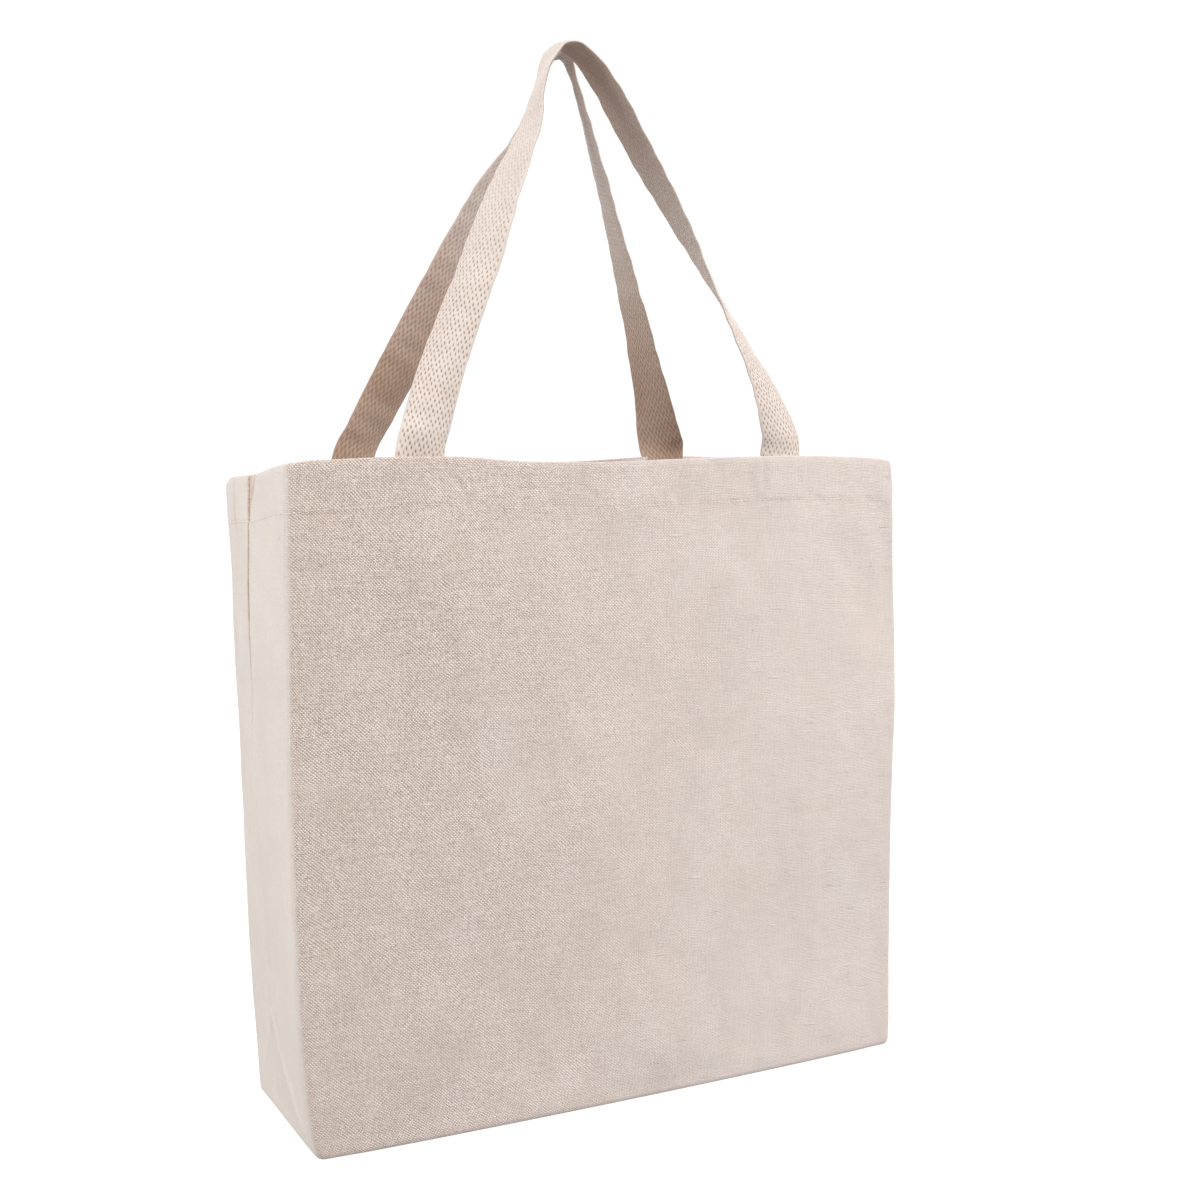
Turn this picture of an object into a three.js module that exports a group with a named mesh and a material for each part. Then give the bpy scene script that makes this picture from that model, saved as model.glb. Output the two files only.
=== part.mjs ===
// Canvas tote bag: a boxed bag of plain-woven cotton canvas with two webbing handles.
// Millimetres, +Z up. Origin at the middle of the base; the front face looks along -Y.
import * as THREE from 'three';

// ---- driving dimensions ----------------------------------------------------
const WIDTH = 380;            // rim, side to side
const DEPTH = 117;            // rim, front to back
const HEIGHT = 368;           // base to the rim's corners
const CLOTH = 1.2;            // canvas thickness
const GAP = 0.3;              // clearance between touching pieces
const CORNER = 6;             // radius of the soft upright creases
const LEFT_TAPER = 8;         // the base is drawn in on the left by this much
const RIGHT_TAPER = 1;        // and on the right
const RIM_LIFT = 2.2;         // the rim is held up this much where a handle is sewn in
const SEAM_Y = 7;             // the side seam lies just behind the gusset's middle
const SPLIT = 52;             // the gussets reach from -SPLIT to +SPLIT
const HEM = 26;               // width of the turned hem
const TAIL = 24;              // sewn-in length of each handle end
const STRAP_W = 28.5;         // webbing width
const STRAP_T = 2.4;          // webbing thickness
const FOOT = 14;              // upright start of each leg, just above the rim
const THREAD = 0.5;           // sewing thread
const SEAM_ALLOWANCE = 11;    // raw edges of the side seams, inside
// distance of the handle ends' middle from the bag's middle plane
const STRAP_Y = DEPTH / 2 - 2 * (CLOTH + GAP) - STRAP_T / 2;
const FRONT_FEET = [-116.3, 111.2];
const BACK_FEET = [-113.6, 94.6];

// Centre line, width direction and chord of each handle from its left foot to its right:
// x, y, z, wx, wy, wz, width.
const FRONT_HANDLE = [
  [-117.2, -57.2, 369.8, 0.967, 0.070, -0.243, 28.3],
  [-114.7, -55.1, 380.4, 0.969, -0.047, -0.244, 26.3],
  [-111.7, -53.0, 390.9, 0.947, -0.199, -0.254, 25.0],
  [-108.2, -51.1, 401.2, 0.901, -0.356, -0.249, 24.5],
  [-104.4, -49.1, 411.5, 0.837, -0.496, -0.233, 24.5],
  [-100.3, -47.2, 421.6, 0.767, -0.605, -0.212, 24.6],
  [-95.9, -45.4, 431.6, 0.704, -0.684, -0.192, 25.1],
  [-91.3, -43.6, 441.5, 0.651, -0.739, -0.174, 25.8],
  [-86.5, -41.8, 451.4, 0.608, -0.778, -0.157, 26.4],
  [-81.6, -40.0, 461.2, 0.572, -0.808, -0.141, 26.9],
  [-76.7, -38.2, 470.9, 0.540, -0.833, -0.123, 27.4],
  [-71.7, -36.4, 480.7, 0.508, -0.856, -0.101, 27.8],
  [-66.7, -34.6, 490.4, 0.473, -0.878, -0.073, 28.1],
  [-61.7, -32.7, 500.1, 0.433, -0.901, -0.040, 28.4],
  [-56.9, -30.7, 509.9, 0.386, -0.923, -0.001, 28.5],
  [-52.2, -28.7, 519.8, 0.331, -0.943, 0.043, 28.5],
  [-47.7, -26.6, 529.7, 0.269, -0.959, 0.087, 28.5],
  [-43.4, -24.4, 539.7, 0.202, -0.971, 0.125, 28.5],
  [-39.1, -22.2, 549.7, 0.136, -0.979, 0.151, 28.5],
  [-35.0, -20.2, 559.8, 0.077, -0.984, 0.162, 28.5],
  [-30.7, -18.3, 569.8, 0.031, -0.987, 0.155, 28.5],
  [-26.2, -16.7, 579.9, 0.006, -0.991, 0.134, 28.5],
  [-20.8, -15.6, 589.5, 0.017, -0.995, 0.096, 28.5],
  [-13.2, -14.8, 597.4, 0.041, -0.999, 0.002, 28.4],
  [-2.5, -14.8, 598.8, -0.038, -0.997, -0.068, 28.3],
  [7.3, -15.4, 593.8, -0.098, -0.995, -0.015, 28.3],
  [15.0, -16.3, 585.9, -0.093, -0.994, 0.054, 28.3],
  [20.9, -17.6, 576.6, -0.067, -0.992, 0.105, 28.3],
  [25.9, -19.1, 566.8, -0.047, -0.989, 0.138, 28.3],
  [30.6, -20.8, 556.9, -0.045, -0.987, 0.157, 28.4],
  [35.4, -22.6, 547.1, -0.056, -0.985, 0.165, 28.4],
  [40.4, -24.6, 537.4, -0.079, -0.983, 0.163, 28.5],
  [45.5, -26.6, 527.7, -0.109, -0.982, 0.152, 28.5],
  [50.5, -28.7, 518.1, -0.148, -0.980, 0.133, 28.5],
  [55.4, -30.8, 508.3, -0.197, -0.975, 0.108, 28.5],
  [60.1, -32.8, 498.5, -0.256, -0.964, 0.076, 28.5],
  [64.6, -34.8, 488.5, -0.325, -0.945, 0.038, 28.5],
  [69.1, -36.7, 478.6, -0.397, -0.918, -0.006, 28.5],
  [73.7, -38.6, 468.7, -0.464, -0.884, -0.056, 28.5],
  [78.5, -40.4, 458.8, -0.522, -0.846, -0.107, 28.5],
  [83.6, -42.2, 449.1, -0.569, -0.807, -0.157, 28.5],
  [88.9, -44.0, 439.6, -0.611, -0.766, -0.200, 28.5],
  [94.3, -45.7, 430.0, -0.653, -0.721, -0.233, 28.4],
  [99.6, -47.5, 420.5, -0.705, -0.663, -0.252, 28.2],
  [104.6, -49.4, 410.7, -0.774, -0.582, -0.248, 28.0],
  [108.8, -51.3, 400.6, -0.861, -0.464, -0.207, 27.7],
  [111.7, -53.2, 390.1, -0.950, -0.293, -0.111, 27.4],
  [112.5, -55.2, 379.2, -0.997, -0.069, 0.040, 27.0],
  [111.1, -57.2, 368.4, -0.981, 0.164, 0.102, 26.6],
];
const BACK_HANDLE = [
  [-114.7, 56.6, 371.8, 0.881, 0.244, -0.406, 26.0],
  [-109.9, 55.2, 381.3, 0.865, 0.326, -0.382, 26.2],
  [-105.1, 53.5, 390.8, 0.875, 0.292, -0.387, 26.4],
  [-100.3, 51.7, 400.2, 0.885, 0.242, -0.398, 26.6],
  [-95.6, 49.7, 409.7, 0.890, 0.203, -0.407, 26.7],
  [-90.8, 47.7, 419.1, 0.893, 0.178, -0.414, 26.9],
  [-86.0, 45.8, 428.6, 0.894, 0.167, -0.417, 27.1],
  [-81.3, 43.8, 438.0, 0.893, 0.169, -0.417, 27.2],
  [-76.5, 42.0, 447.5, 0.890, 0.185, -0.416, 27.3],
  [-71.7, 40.2, 457.0, 0.886, 0.212, -0.413, 27.5],
  [-66.8, 38.6, 466.4, 0.878, 0.251, -0.408, 27.6],
  [-62.0, 37.0, 475.9, 0.866, 0.299, -0.400, 27.7],
  [-57.0, 35.4, 485.3, 0.849, 0.357, -0.390, 27.8],
  [-52.0, 33.9, 494.7, 0.825, 0.422, -0.376, 27.9],
  [-46.9, 32.2, 504.1, 0.795, 0.492, -0.355, 28.0],
  [-41.6, 30.5, 513.3, 0.760, 0.563, -0.325, 28.0],
  [-36.3, 28.6, 522.5, 0.723, 0.631, -0.282, 28.1],
  [-31.1, 26.6, 531.6, 0.687, 0.691, -0.224, 28.2],
  [-26.0, 24.4, 540.9, 0.655, 0.739, -0.155, 28.2],
  [-21.5, 22.1, 550.4, 0.620, 0.780, -0.086, 28.3],
  [-17.6, 19.8, 560.1, 0.572, 0.819, -0.042, 28.3],
  [-13.9, 17.8, 570.0, 0.511, 0.859, -0.038, 28.4],
  [-10.1, 16.2, 580.0, 0.439, 0.896, -0.066, 28.4],
  [-5.4, 15.1, 589.6, 0.342, 0.934, -0.108, 28.4],
  [0.7, 14.4, 598.4, 0.067, 0.995, -0.067, 28.5],
  [9.8, 14.6, 598.3, 0.147, 0.929, 0.338, 28.5],
  [14.9, 15.6, 588.9, 0.314, 0.914, 0.257, 28.5],
  [19.1, 16.8, 579.0, 0.301, 0.918, 0.259, 28.5],
  [23.1, 18.5, 569.2, 0.276, 0.920, 0.277, 28.5],
  [27.0, 20.4, 559.4, 0.251, 0.924, 0.288, 28.5],
  [31.0, 22.5, 549.5, 0.227, 0.930, 0.289, 28.5],
  [34.9, 24.6, 539.7, 0.203, 0.938, 0.282, 28.5],
  [38.7, 26.7, 529.9, 0.179, 0.946, 0.269, 28.5],
  [42.5, 28.7, 520.0, 0.151, 0.956, 0.253, 28.5],
  [46.2, 30.7, 510.1, 0.122, 0.964, 0.235, 28.5],
  [49.9, 32.6, 500.2, 0.089, 0.972, 0.216, 28.5],
  [53.5, 34.5, 490.2, 0.053, 0.979, 0.198, 28.5],
  [57.1, 36.3, 480.3, 0.014, 0.983, 0.182, 28.5],
  [60.7, 38.1, 470.3, -0.028, 0.985, 0.168, 28.5],
  [64.2, 39.9, 460.3, -0.073, 0.985, 0.154, 28.5],
  [67.8, 41.7, 450.3, -0.121, 0.983, 0.141, 28.5],
  [71.4, 43.6, 440.3, -0.174, 0.977, 0.125, 28.5],
  [74.9, 45.5, 430.3, -0.233, 0.967, 0.107, 28.5],
  [78.5, 47.5, 420.4, -0.295, 0.952, 0.086, 28.5],
  [81.9, 49.5, 410.4, -0.360, 0.931, 0.063, 28.5],
  [85.2, 51.5, 400.3, -0.431, 0.902, 0.036, 28.5],
  [88.4, 53.4, 390.2, -0.533, 0.846, -0.004, 28.5],
  [91.3, 55.3, 380.0, -0.727, 0.682, -0.082, 28.5],
  [94.0, 56.9, 369.7, -0.968, 0.077, -0.238, 28.5],
];

// ---- helpers ---------------------------------------------------------------
const V = (x, y, z) => new THREE.Vector3(x, y, z);
const lerp = (a, b, t) => a + (b - a) * t;
const clamp = (x, a, b) => Math.min(b, Math.max(a, x));

// A closed solid from a list of rings, each a closed loop of the same number of points,
// capped at both ends by the fan of its loop.
function loft(rings) {
  const n = rings[0].length;
  const pos = [];
  for (const ring of rings) for (const p of ring) pos.push(p.x, p.y, p.z);
  const idx = [];
  for (let i = 0; i + 1 < rings.length; i++) {
    for (let j = 0; j < n; j++) {
      const a = i * n + j, b = i * n + ((j + 1) % n), c = a + n, d = b + n;
      idx.push(a, b, d, a, d, c);
    }
  }
  const last = (rings.length - 1) * n;
  for (let j = 1; j + 1 < n; j++) {
    idx.push(0, j + 1, j);
    idx.push(last, last + j, last + j + 1);
  }
  return outward(pos, idx);
}

// A closed sheet of cloth between an outer and an inner grid of points.
function sheet(outer, inner) {
  const m = outer.length, n = outer[0].length;
  const pos = [];
  for (const grid of [outer, inner]) for (const row of grid) for (const p of row) pos.push(p.x, p.y, p.z);
  const at = (side, i, j) => side * m * n + i * n + j;
  const idx = [];
  const quad = (a, b, c, d) => idx.push(a, b, c, a, c, d);
  for (let i = 0; i + 1 < m; i++) {
    for (let j = 0; j + 1 < n; j++) {
      quad(at(0, i, j), at(0, i, j + 1), at(0, i + 1, j + 1), at(0, i + 1, j));
      quad(at(1, i, j), at(1, i + 1, j), at(1, i + 1, j + 1), at(1, i, j + 1));
    }
  }
  for (let j = 0; j + 1 < n; j++) {
    quad(at(0, 0, j), at(1, 0, j), at(1, 0, j + 1), at(0, 0, j + 1));
    quad(at(0, m - 1, j), at(0, m - 1, j + 1), at(1, m - 1, j + 1), at(1, m - 1, j));
  }
  for (let i = 0; i + 1 < m; i++) {
    quad(at(0, i, 0), at(0, i + 1, 0), at(1, i + 1, 0), at(1, i, 0));
    quad(at(0, i, n - 1), at(1, i, n - 1), at(1, i + 1, n - 1), at(0, i + 1, n - 1));
  }
  return outward(pos, idx);
}

function outward(pos, idx) {
  let vol = 0;
  const p = (k) => V(pos[3 * k], pos[3 * k + 1], pos[3 * k + 2]);
  for (let t = 0; t < idx.length; t += 3) vol += p(idx[t]).dot(p(idx[t + 1]).cross(p(idx[t + 2])));
  if (vol < 0) for (let t = 0; t < idx.length; t += 3) [idx[t + 1], idx[t + 2]] = [idx[t + 2], idx[t + 1]];
  const g = new THREE.BufferGeometry();
  g.setAttribute('position', new THREE.Float32BufferAttribute(pos, 3));
  g.setIndex(idx);
  g.computeVertexNormals();
  return g;
}

const canvas = () => new THREE.MeshStandardMaterial({ color: 0xddd0c6, roughness: 0.95, metalness: 0 });
const webbing = () => new THREE.MeshStandardMaterial({ color: 0xe4d8ce, roughness: 0.92, metalness: 0 });
const thread = () => new THREE.MeshStandardMaterial({ color: 0xf1e9e1, roughness: 0.8, metalness: 0 });

const bag = new THREE.Group();
function add(name, geometry, material) {
  const mesh = new THREE.Mesh(geometry, material);
  mesh.name = name;
  bag.add(mesh);
  return mesh;
}

// ---- outer shape of the cloth ----------------------------------------------
const leftX = (z) => -WIDTH / 2 + LEFT_TAPER * (1 - clamp(z / HEIGHT, 0, 1));
const rightX = (z) => WIDTH / 2 - RIGHT_TAPER * (1 - clamp(z / HEIGHT, 0, 1));

// Height of the rim above the base along the front or the back.
function rim(x, feet) {
  let lift = 0;
  for (const f of feet) lift = Math.max(lift, Math.exp(-(((x - f) / 42) ** 2)));
  return HEIGHT + RIM_LIFT * lift;
}
const HEIGHTS = [0, 0.02, 0.2, 0.4, 0.6, 0.8, 1];

// One cloth face with its two soft corners; side -1 is the front, +1 the back.
function face(side, feet) {
  const yo = side * DEPTH / 2;
  const outer = [], inner = [];
  for (const t of HEIGHTS) {
    const ro = [], ri = [];
    const z0 = t * HEIGHT;
    const xl = leftX(z0), xr = rightX(z0);
    const steps = [];
    steps.push([xl, side * (SPLIT + GAP / 2), xl + CLOTH, side * (SPLIT + GAP / 2)]);
    for (let k = 0; k <= 3; k++) {
      const a = (k / 3) * Math.PI / 2;
      const c = Math.cos(a), s = Math.sin(a);
      steps.push([xl + CORNER - CORNER * c, side * (DEPTH / 2 - CORNER + CORNER * s),
        xl + CORNER - (CORNER - CLOTH) * c, side * (DEPTH / 2 - CORNER + (CORNER - CLOTH) * s)]);
    }
    for (let k = 1; k < 16; k++) {
      const x = lerp(xl + CORNER, xr - CORNER, k / 16);
      steps.push([x, yo, x, yo - side * CLOTH]);
    }
    for (let k = 3; k >= 0; k--) {
      const a = (k / 3) * Math.PI / 2;
      const c = Math.cos(a), s = Math.sin(a);
      steps.push([xr - CORNER + CORNER * c, side * (DEPTH / 2 - CORNER + CORNER * s),
        xr - CORNER + (CORNER - CLOTH) * c, side * (DEPTH / 2 - CORNER + (CORNER - CLOTH) * s)]);
    }
    steps.push([xr, side * (SPLIT + GAP / 2), xr - CLOTH, side * (SPLIT + GAP / 2)]);
    for (const [ox, oy, ix, iy] of steps) {
      const top = rim(ox, feet);
      ro.push(V(ox, oy, t * top));
      ri.push(V(ix, iy, t * top));
    }
    outer.push(ro);
    inner.push(ri);
  }
  return sheet(outer, inner);
}

// Half a gusset, from y0 to y1; dir -1 is the left side, +1 the right.
function gusset(dir, y0, y1) {
  const outer = [], inner = [];
  for (const t of HEIGHTS) {
    const ro = [], ri = [];
    for (let k = 0; k <= 2; k++) {
      const y = lerp(y0, y1, k / 2);
      const z = t * HEIGHT;
      const x = dir < 0 ? leftX(z) : rightX(z);
      ro.push(V(x, y, z));
      ri.push(V(x - dir * CLOTH, y, z));
    }
    outer.push(ro);
    inner.push(ri);
  }
  return sheet(outer, inner);
}

// The turned hem of one face, folded to the inside.
function faceHem(side, feet) {
  const yo = side * (DEPTH / 2 - CLOTH - GAP);
  const outer = [], inner = [];
  for (const t of [0, 0.5, 1]) {
    const ro = [], ri = [];
    for (let k = 0; k <= 18; k++) {
      const z0 = HEIGHT - HEM;
      const x = lerp(leftX(z0) + CORNER + 2, rightX(z0) - CORNER - 2, k / 18);
      const z = rim(x, feet) - 0.2 - HEM * (1 - t);
      ro.push(V(x, yo, z));
      ri.push(V(x, yo - side * CLOTH, z));
    }
    outer.push(ro);
    inner.push(ri);
  }
  return sheet(outer, inner);
}

function gussetHem(dir) {
  const outer = [], inner = [];
  for (const t of [0, 0.5, 1]) {
    const ro = [], ri = [];
    const z = HEIGHT - 0.2 - HEM * (1 - t);
    for (let k = 0; k <= 4; k++) {
      const y = lerp(-SPLIT + 4, SPLIT - 4, k / 4);
      const x = (dir < 0 ? leftX(z) : rightX(z)) - dir * (CLOTH + GAP);
      ro.push(V(x, y, z));
      ri.push(V(x - dir * CLOTH, y, z));
    }
    outer.push(ro);
    inner.push(ri);
  }
  return sheet(outer, inner);
}

add('front_panel', face(-1, FRONT_FEET), canvas());
add('back_panel', face(1, BACK_FEET), canvas());
add('left_gusset_front', gusset(-1, -SPLIT + GAP / 2, SEAM_Y - GAP / 2), canvas());
add('left_gusset_back', gusset(-1, SEAM_Y + GAP / 2, SPLIT - GAP / 2), canvas());
add('right_gusset_front', gusset(1, -SPLIT + GAP / 2, SEAM_Y - GAP / 2), canvas());
add('right_gusset_back', gusset(1, SEAM_Y + GAP / 2, SPLIT - GAP / 2), canvas());
add('front_hem', faceHem(-1, FRONT_FEET), canvas());
add('back_hem', faceHem(1, BACK_FEET), canvas());
add('left_gusset_hem', gussetHem(-1), canvas());
add('right_gusset_hem', gussetHem(1), canvas());

// The base: one flat rectangle of cloth inside the four walls.
{
  const xl = leftX(0) + CLOTH + GAP, xr = rightX(0) - CLOTH - GAP;
  const w = xr - xl, d = 2 * (SPLIT - GAP);
  const g = new THREE.BoxGeometry(w, d, CLOTH, 6, 2, 1);
  g.translate((xl + xr) / 2, 0, CLOTH / 2);
  add('bottom_panel', g, canvas());
}

// Box of the given corners, as a plain bar.
function bar(x0, x1, y0, y1, z0, z1) {
  const g = new THREE.BoxGeometry(x1 - x0, y1 - y0, z1 - z0);
  g.translate((x0 + x1) / 2, (y0 + y1) / 2, (z0 + z1) / 2);
  return g;
}

// Side seams: the two raw edges lie together inside, overcast, down the gusset's middle.
for (const dir of [-1, 1]) {
  const side = dir < 0 ? 'left' : 'right';
  const rows = [4, 120, 240, HEIGHT - HEM - 4];
  const depthOf = (z) => (dir < 0 ? leftX(z) : rightX(z)) - dir * (CLOTH + GAP);
  add(side + '_seam_allowance', loft(rows.map((z) => {
    const x = depthOf(z);
    return [V(x, SEAM_Y - SEAM_ALLOWANCE, z), V(x, SEAM_Y, z), V(x - dir * 1.4, SEAM_Y, z), V(x - dir * 1.4, SEAM_Y - SEAM_ALLOWANCE, z)];
  })), canvas());
  add(side + '_seam_overcast', loft(rows.map((z) => {
    const x = depthOf(z);
    const y = SEAM_Y - SEAM_ALLOWANCE - GAP;
    return [V(x, y, z), V(x - dir * 1.6, y, z), V(x - dir * 1.6, y - 1.2, z), V(x, y - 1.2, z)];
  })), thread());
}

// Hem stitching, a line of thread along the outside of each face.
for (const [name, side, feet] of [['front_hem_thread', -1, FRONT_FEET], ['back_hem_thread', 1, BACK_FEET]]) {
  const y = side * (DEPTH / 2 + GAP);
  const rings = [];
  for (let k = 0; k <= 18; k++) {
    const x = lerp(leftX(HEIGHT) + CORNER + 2, rightX(HEIGHT) - CORNER - 2, k / 18);
    const z = rim(x, feet) - HEM + 1.5;
    rings.push([V(x, y, z), V(x, y + side * THREAD, z), V(x, y + side * THREAD, z + THREAD), V(x, y, z + THREAD)]);
  }
  add(name, loft(rings), thread());
}
for (const dir of [-1, 1]) {
  const z = HEIGHT - HEM + 1.5;
  const x = (dir < 0 ? leftX(z) : rightX(z)) + dir * GAP;
  const g = bar(Math.min(x, x + dir * THREAD), Math.max(x, x + dir * THREAD), -SPLIT + 2, SPLIT - 2, z, z + THREAD);
  add((dir < 0 ? 'left' : 'right') + '_hem_thread', g, thread());
}

// Handle ends, sewn flat on the inside of the turned hem, and the frame of stitches that holds each.
for (const [name, side, feet] of [['front', -1, FRONT_FEET], ['back', 1, BACK_FEET]]) {
  feet.forEach((cx, i) => {
    const end = i ? 'right' : 'left';
    const yo = side * (STRAP_Y + STRAP_T / 2);
    const yi = side * (STRAP_Y - STRAP_T / 2);
    const top = rim(cx, feet) - 0.4;
    add(`${name}_handle_tail_${end}`, bar(cx - STRAP_W / 2, cx + STRAP_W / 2, Math.min(yo, yi), Math.max(yo, yi), top - TAIL, top), webbing());
    // frame of stitches on the outside of the cloth
    const s = new THREE.Shape();
    const w = STRAP_W / 2 - 2.5, z0 = top - TAIL + 5, z1 = top - 3;
    s.moveTo(-w, z0); s.lineTo(w, z0); s.lineTo(w, z1); s.lineTo(-w, z1); s.closePath();
    const h = new THREE.Path();
    h.moveTo(-w + THREAD, z0 + THREAD); h.lineTo(-w + THREAD, z1 - THREAD); h.lineTo(w - THREAD, z1 - THREAD); h.lineTo(w - THREAD, z0 + THREAD); h.closePath();
    s.holes.push(h);
    const g = new THREE.ExtrudeGeometry(s, { depth: THREAD, bevelEnabled: false });
    // stand the extrusion up: local (x, y, z) becomes (x, -z, y)
    g.rotateX(Math.PI / 2);
    g.translate(cx, side < 0 ? -(DEPTH / 2 + GAP) : DEPTH / 2 + GAP + THREAD, 0);
    add(`${name}_handle_stitch_${end}`, g, thread());
  });
}

// Webbing loop: the section follows the centre line, flat across the width direction.
function ribbon(table, from, to) {
  const rings = [];
  const n = table.length;
  for (let i = from; i <= to; i++) {
    const r = table[i];
    const a = table[Math.max(0, i - 1)], b = table[Math.min(n - 1, i + 1)];
    const t = V(b[0] - a[0], b[1] - a[1], b[2] - a[2]).normalize();
    const w = V(r[3], r[4], r[5]).normalize();
    const nrm = w.clone().cross(t).normalize();
    const c = V(r[0], r[1], r[2]);
    const hw = w.multiplyScalar(r[6] / 2), ht = nrm.multiplyScalar(STRAP_T / 2);
    rings.push([
      c.clone().sub(hw).sub(ht), c.clone().add(hw).sub(ht), c.clone().add(hw).add(ht), c.clone().sub(hw).add(ht),
    ]);
  }
  return loft(rings);
}

// Moves the ends of a table onto the sewn-in tails, and lifts it clear of the rim.
function settle(table, side, feet) {
  const yc = side * STRAP_Y;
  const n = table.length;
  return table.map((r, i) => {
    const k = Math.min(i, n - 1 - i);
    const f = Math.max(0, 1 - k / 4);
    const foot = i < n / 2 ? feet[0] : feet[1];
    const q = r.slice();
    q[1] = lerp(r[1], yc, f * f);
    q[0] = lerp(r[0], foot, f * f * f);
    const dir = i < n / 2 ? 1 : -1;
    q[3] = lerp(r[3], dir, f * f); q[4] = lerp(r[4], 0, f); q[5] = lerp(r[5], 0, f);
    return q;
  });
}

for (const [name, side, feet, table] of [['front', -1, FRONT_FEET, FRONT_HANDLE], ['back', 1, BACK_FEET, BACK_HANDLE]]) {
  const t = settle(table, side, feet);
  const yc = side * STRAP_Y;
  feet.forEach((cx, i) => {
    const z0 = rim(cx, feet) + 0.2;
    add(`${name}_handle_foot_${i ? 'right' : 'left'}`, bar(cx - STRAP_W / 2, cx + STRAP_W / 2, yc - STRAP_T / 2, yc + STRAP_T / 2, z0, z0 + FOOT), webbing());
  });
  // the loop begins just above the feet
  const zf = Math.max(rim(feet[0], feet), rim(feet[1], feet)) + 0.2 + FOOT + GAP;
  const loop = t.filter((r) => r[2] > zf + 3);
  const first = loop[0].slice(), last = loop[loop.length - 1].slice();
  const dropped = (r, foot, dir) => [foot, yc, zf, dir, 0, 0, STRAP_W];
  loop.unshift(dropped(first, feet[0], 1));
  loop.push(dropped(last, feet[1], -1));
  add(`${name}_handle`, ribbon(loop, 0, loop.length - 1), webbing());
}

export default bag;
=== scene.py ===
import bpy
import math
import numpy as np
from mathutils import Matrix, Vector


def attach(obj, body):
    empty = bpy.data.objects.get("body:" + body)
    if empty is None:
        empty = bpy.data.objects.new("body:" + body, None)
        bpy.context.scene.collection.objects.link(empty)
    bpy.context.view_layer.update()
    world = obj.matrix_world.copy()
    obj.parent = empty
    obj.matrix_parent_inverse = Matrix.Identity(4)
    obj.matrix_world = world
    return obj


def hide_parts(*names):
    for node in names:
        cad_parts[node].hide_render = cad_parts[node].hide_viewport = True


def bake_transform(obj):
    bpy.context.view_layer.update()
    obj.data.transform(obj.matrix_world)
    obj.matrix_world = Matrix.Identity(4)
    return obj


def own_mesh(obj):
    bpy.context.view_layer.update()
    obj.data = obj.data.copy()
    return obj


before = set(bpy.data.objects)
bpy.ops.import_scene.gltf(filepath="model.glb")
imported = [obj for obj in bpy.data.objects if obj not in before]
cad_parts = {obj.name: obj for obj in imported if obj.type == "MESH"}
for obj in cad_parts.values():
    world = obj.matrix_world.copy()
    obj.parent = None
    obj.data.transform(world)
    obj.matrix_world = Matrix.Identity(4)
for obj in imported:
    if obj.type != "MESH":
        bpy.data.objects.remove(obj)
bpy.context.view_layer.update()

# ---------------------------------------------------------------- sizes, mm, from part.mjs
HEIGHT = 368.0
HALF_D = 58.5
SPLIT = 52.0
R0 = HALF_D - SPLIT            # the upright creases lie between the split planes and the faces
CLOTH = 1.0
RB = 3.6                       # radius of the soft fold into the base
HEM = 26.0
STITCH_H = 24.5                # the hem's line of stitches, below the rim
FEET = {"front": (-116.3, 111.2), "back": (-113.6, 94.6)}
STRAP_W = 28.5
STRAP_T = 1.9
TAIL_Y = 55.1
LEAN_Z = 370.2
SWING_Z = 384.7

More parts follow.
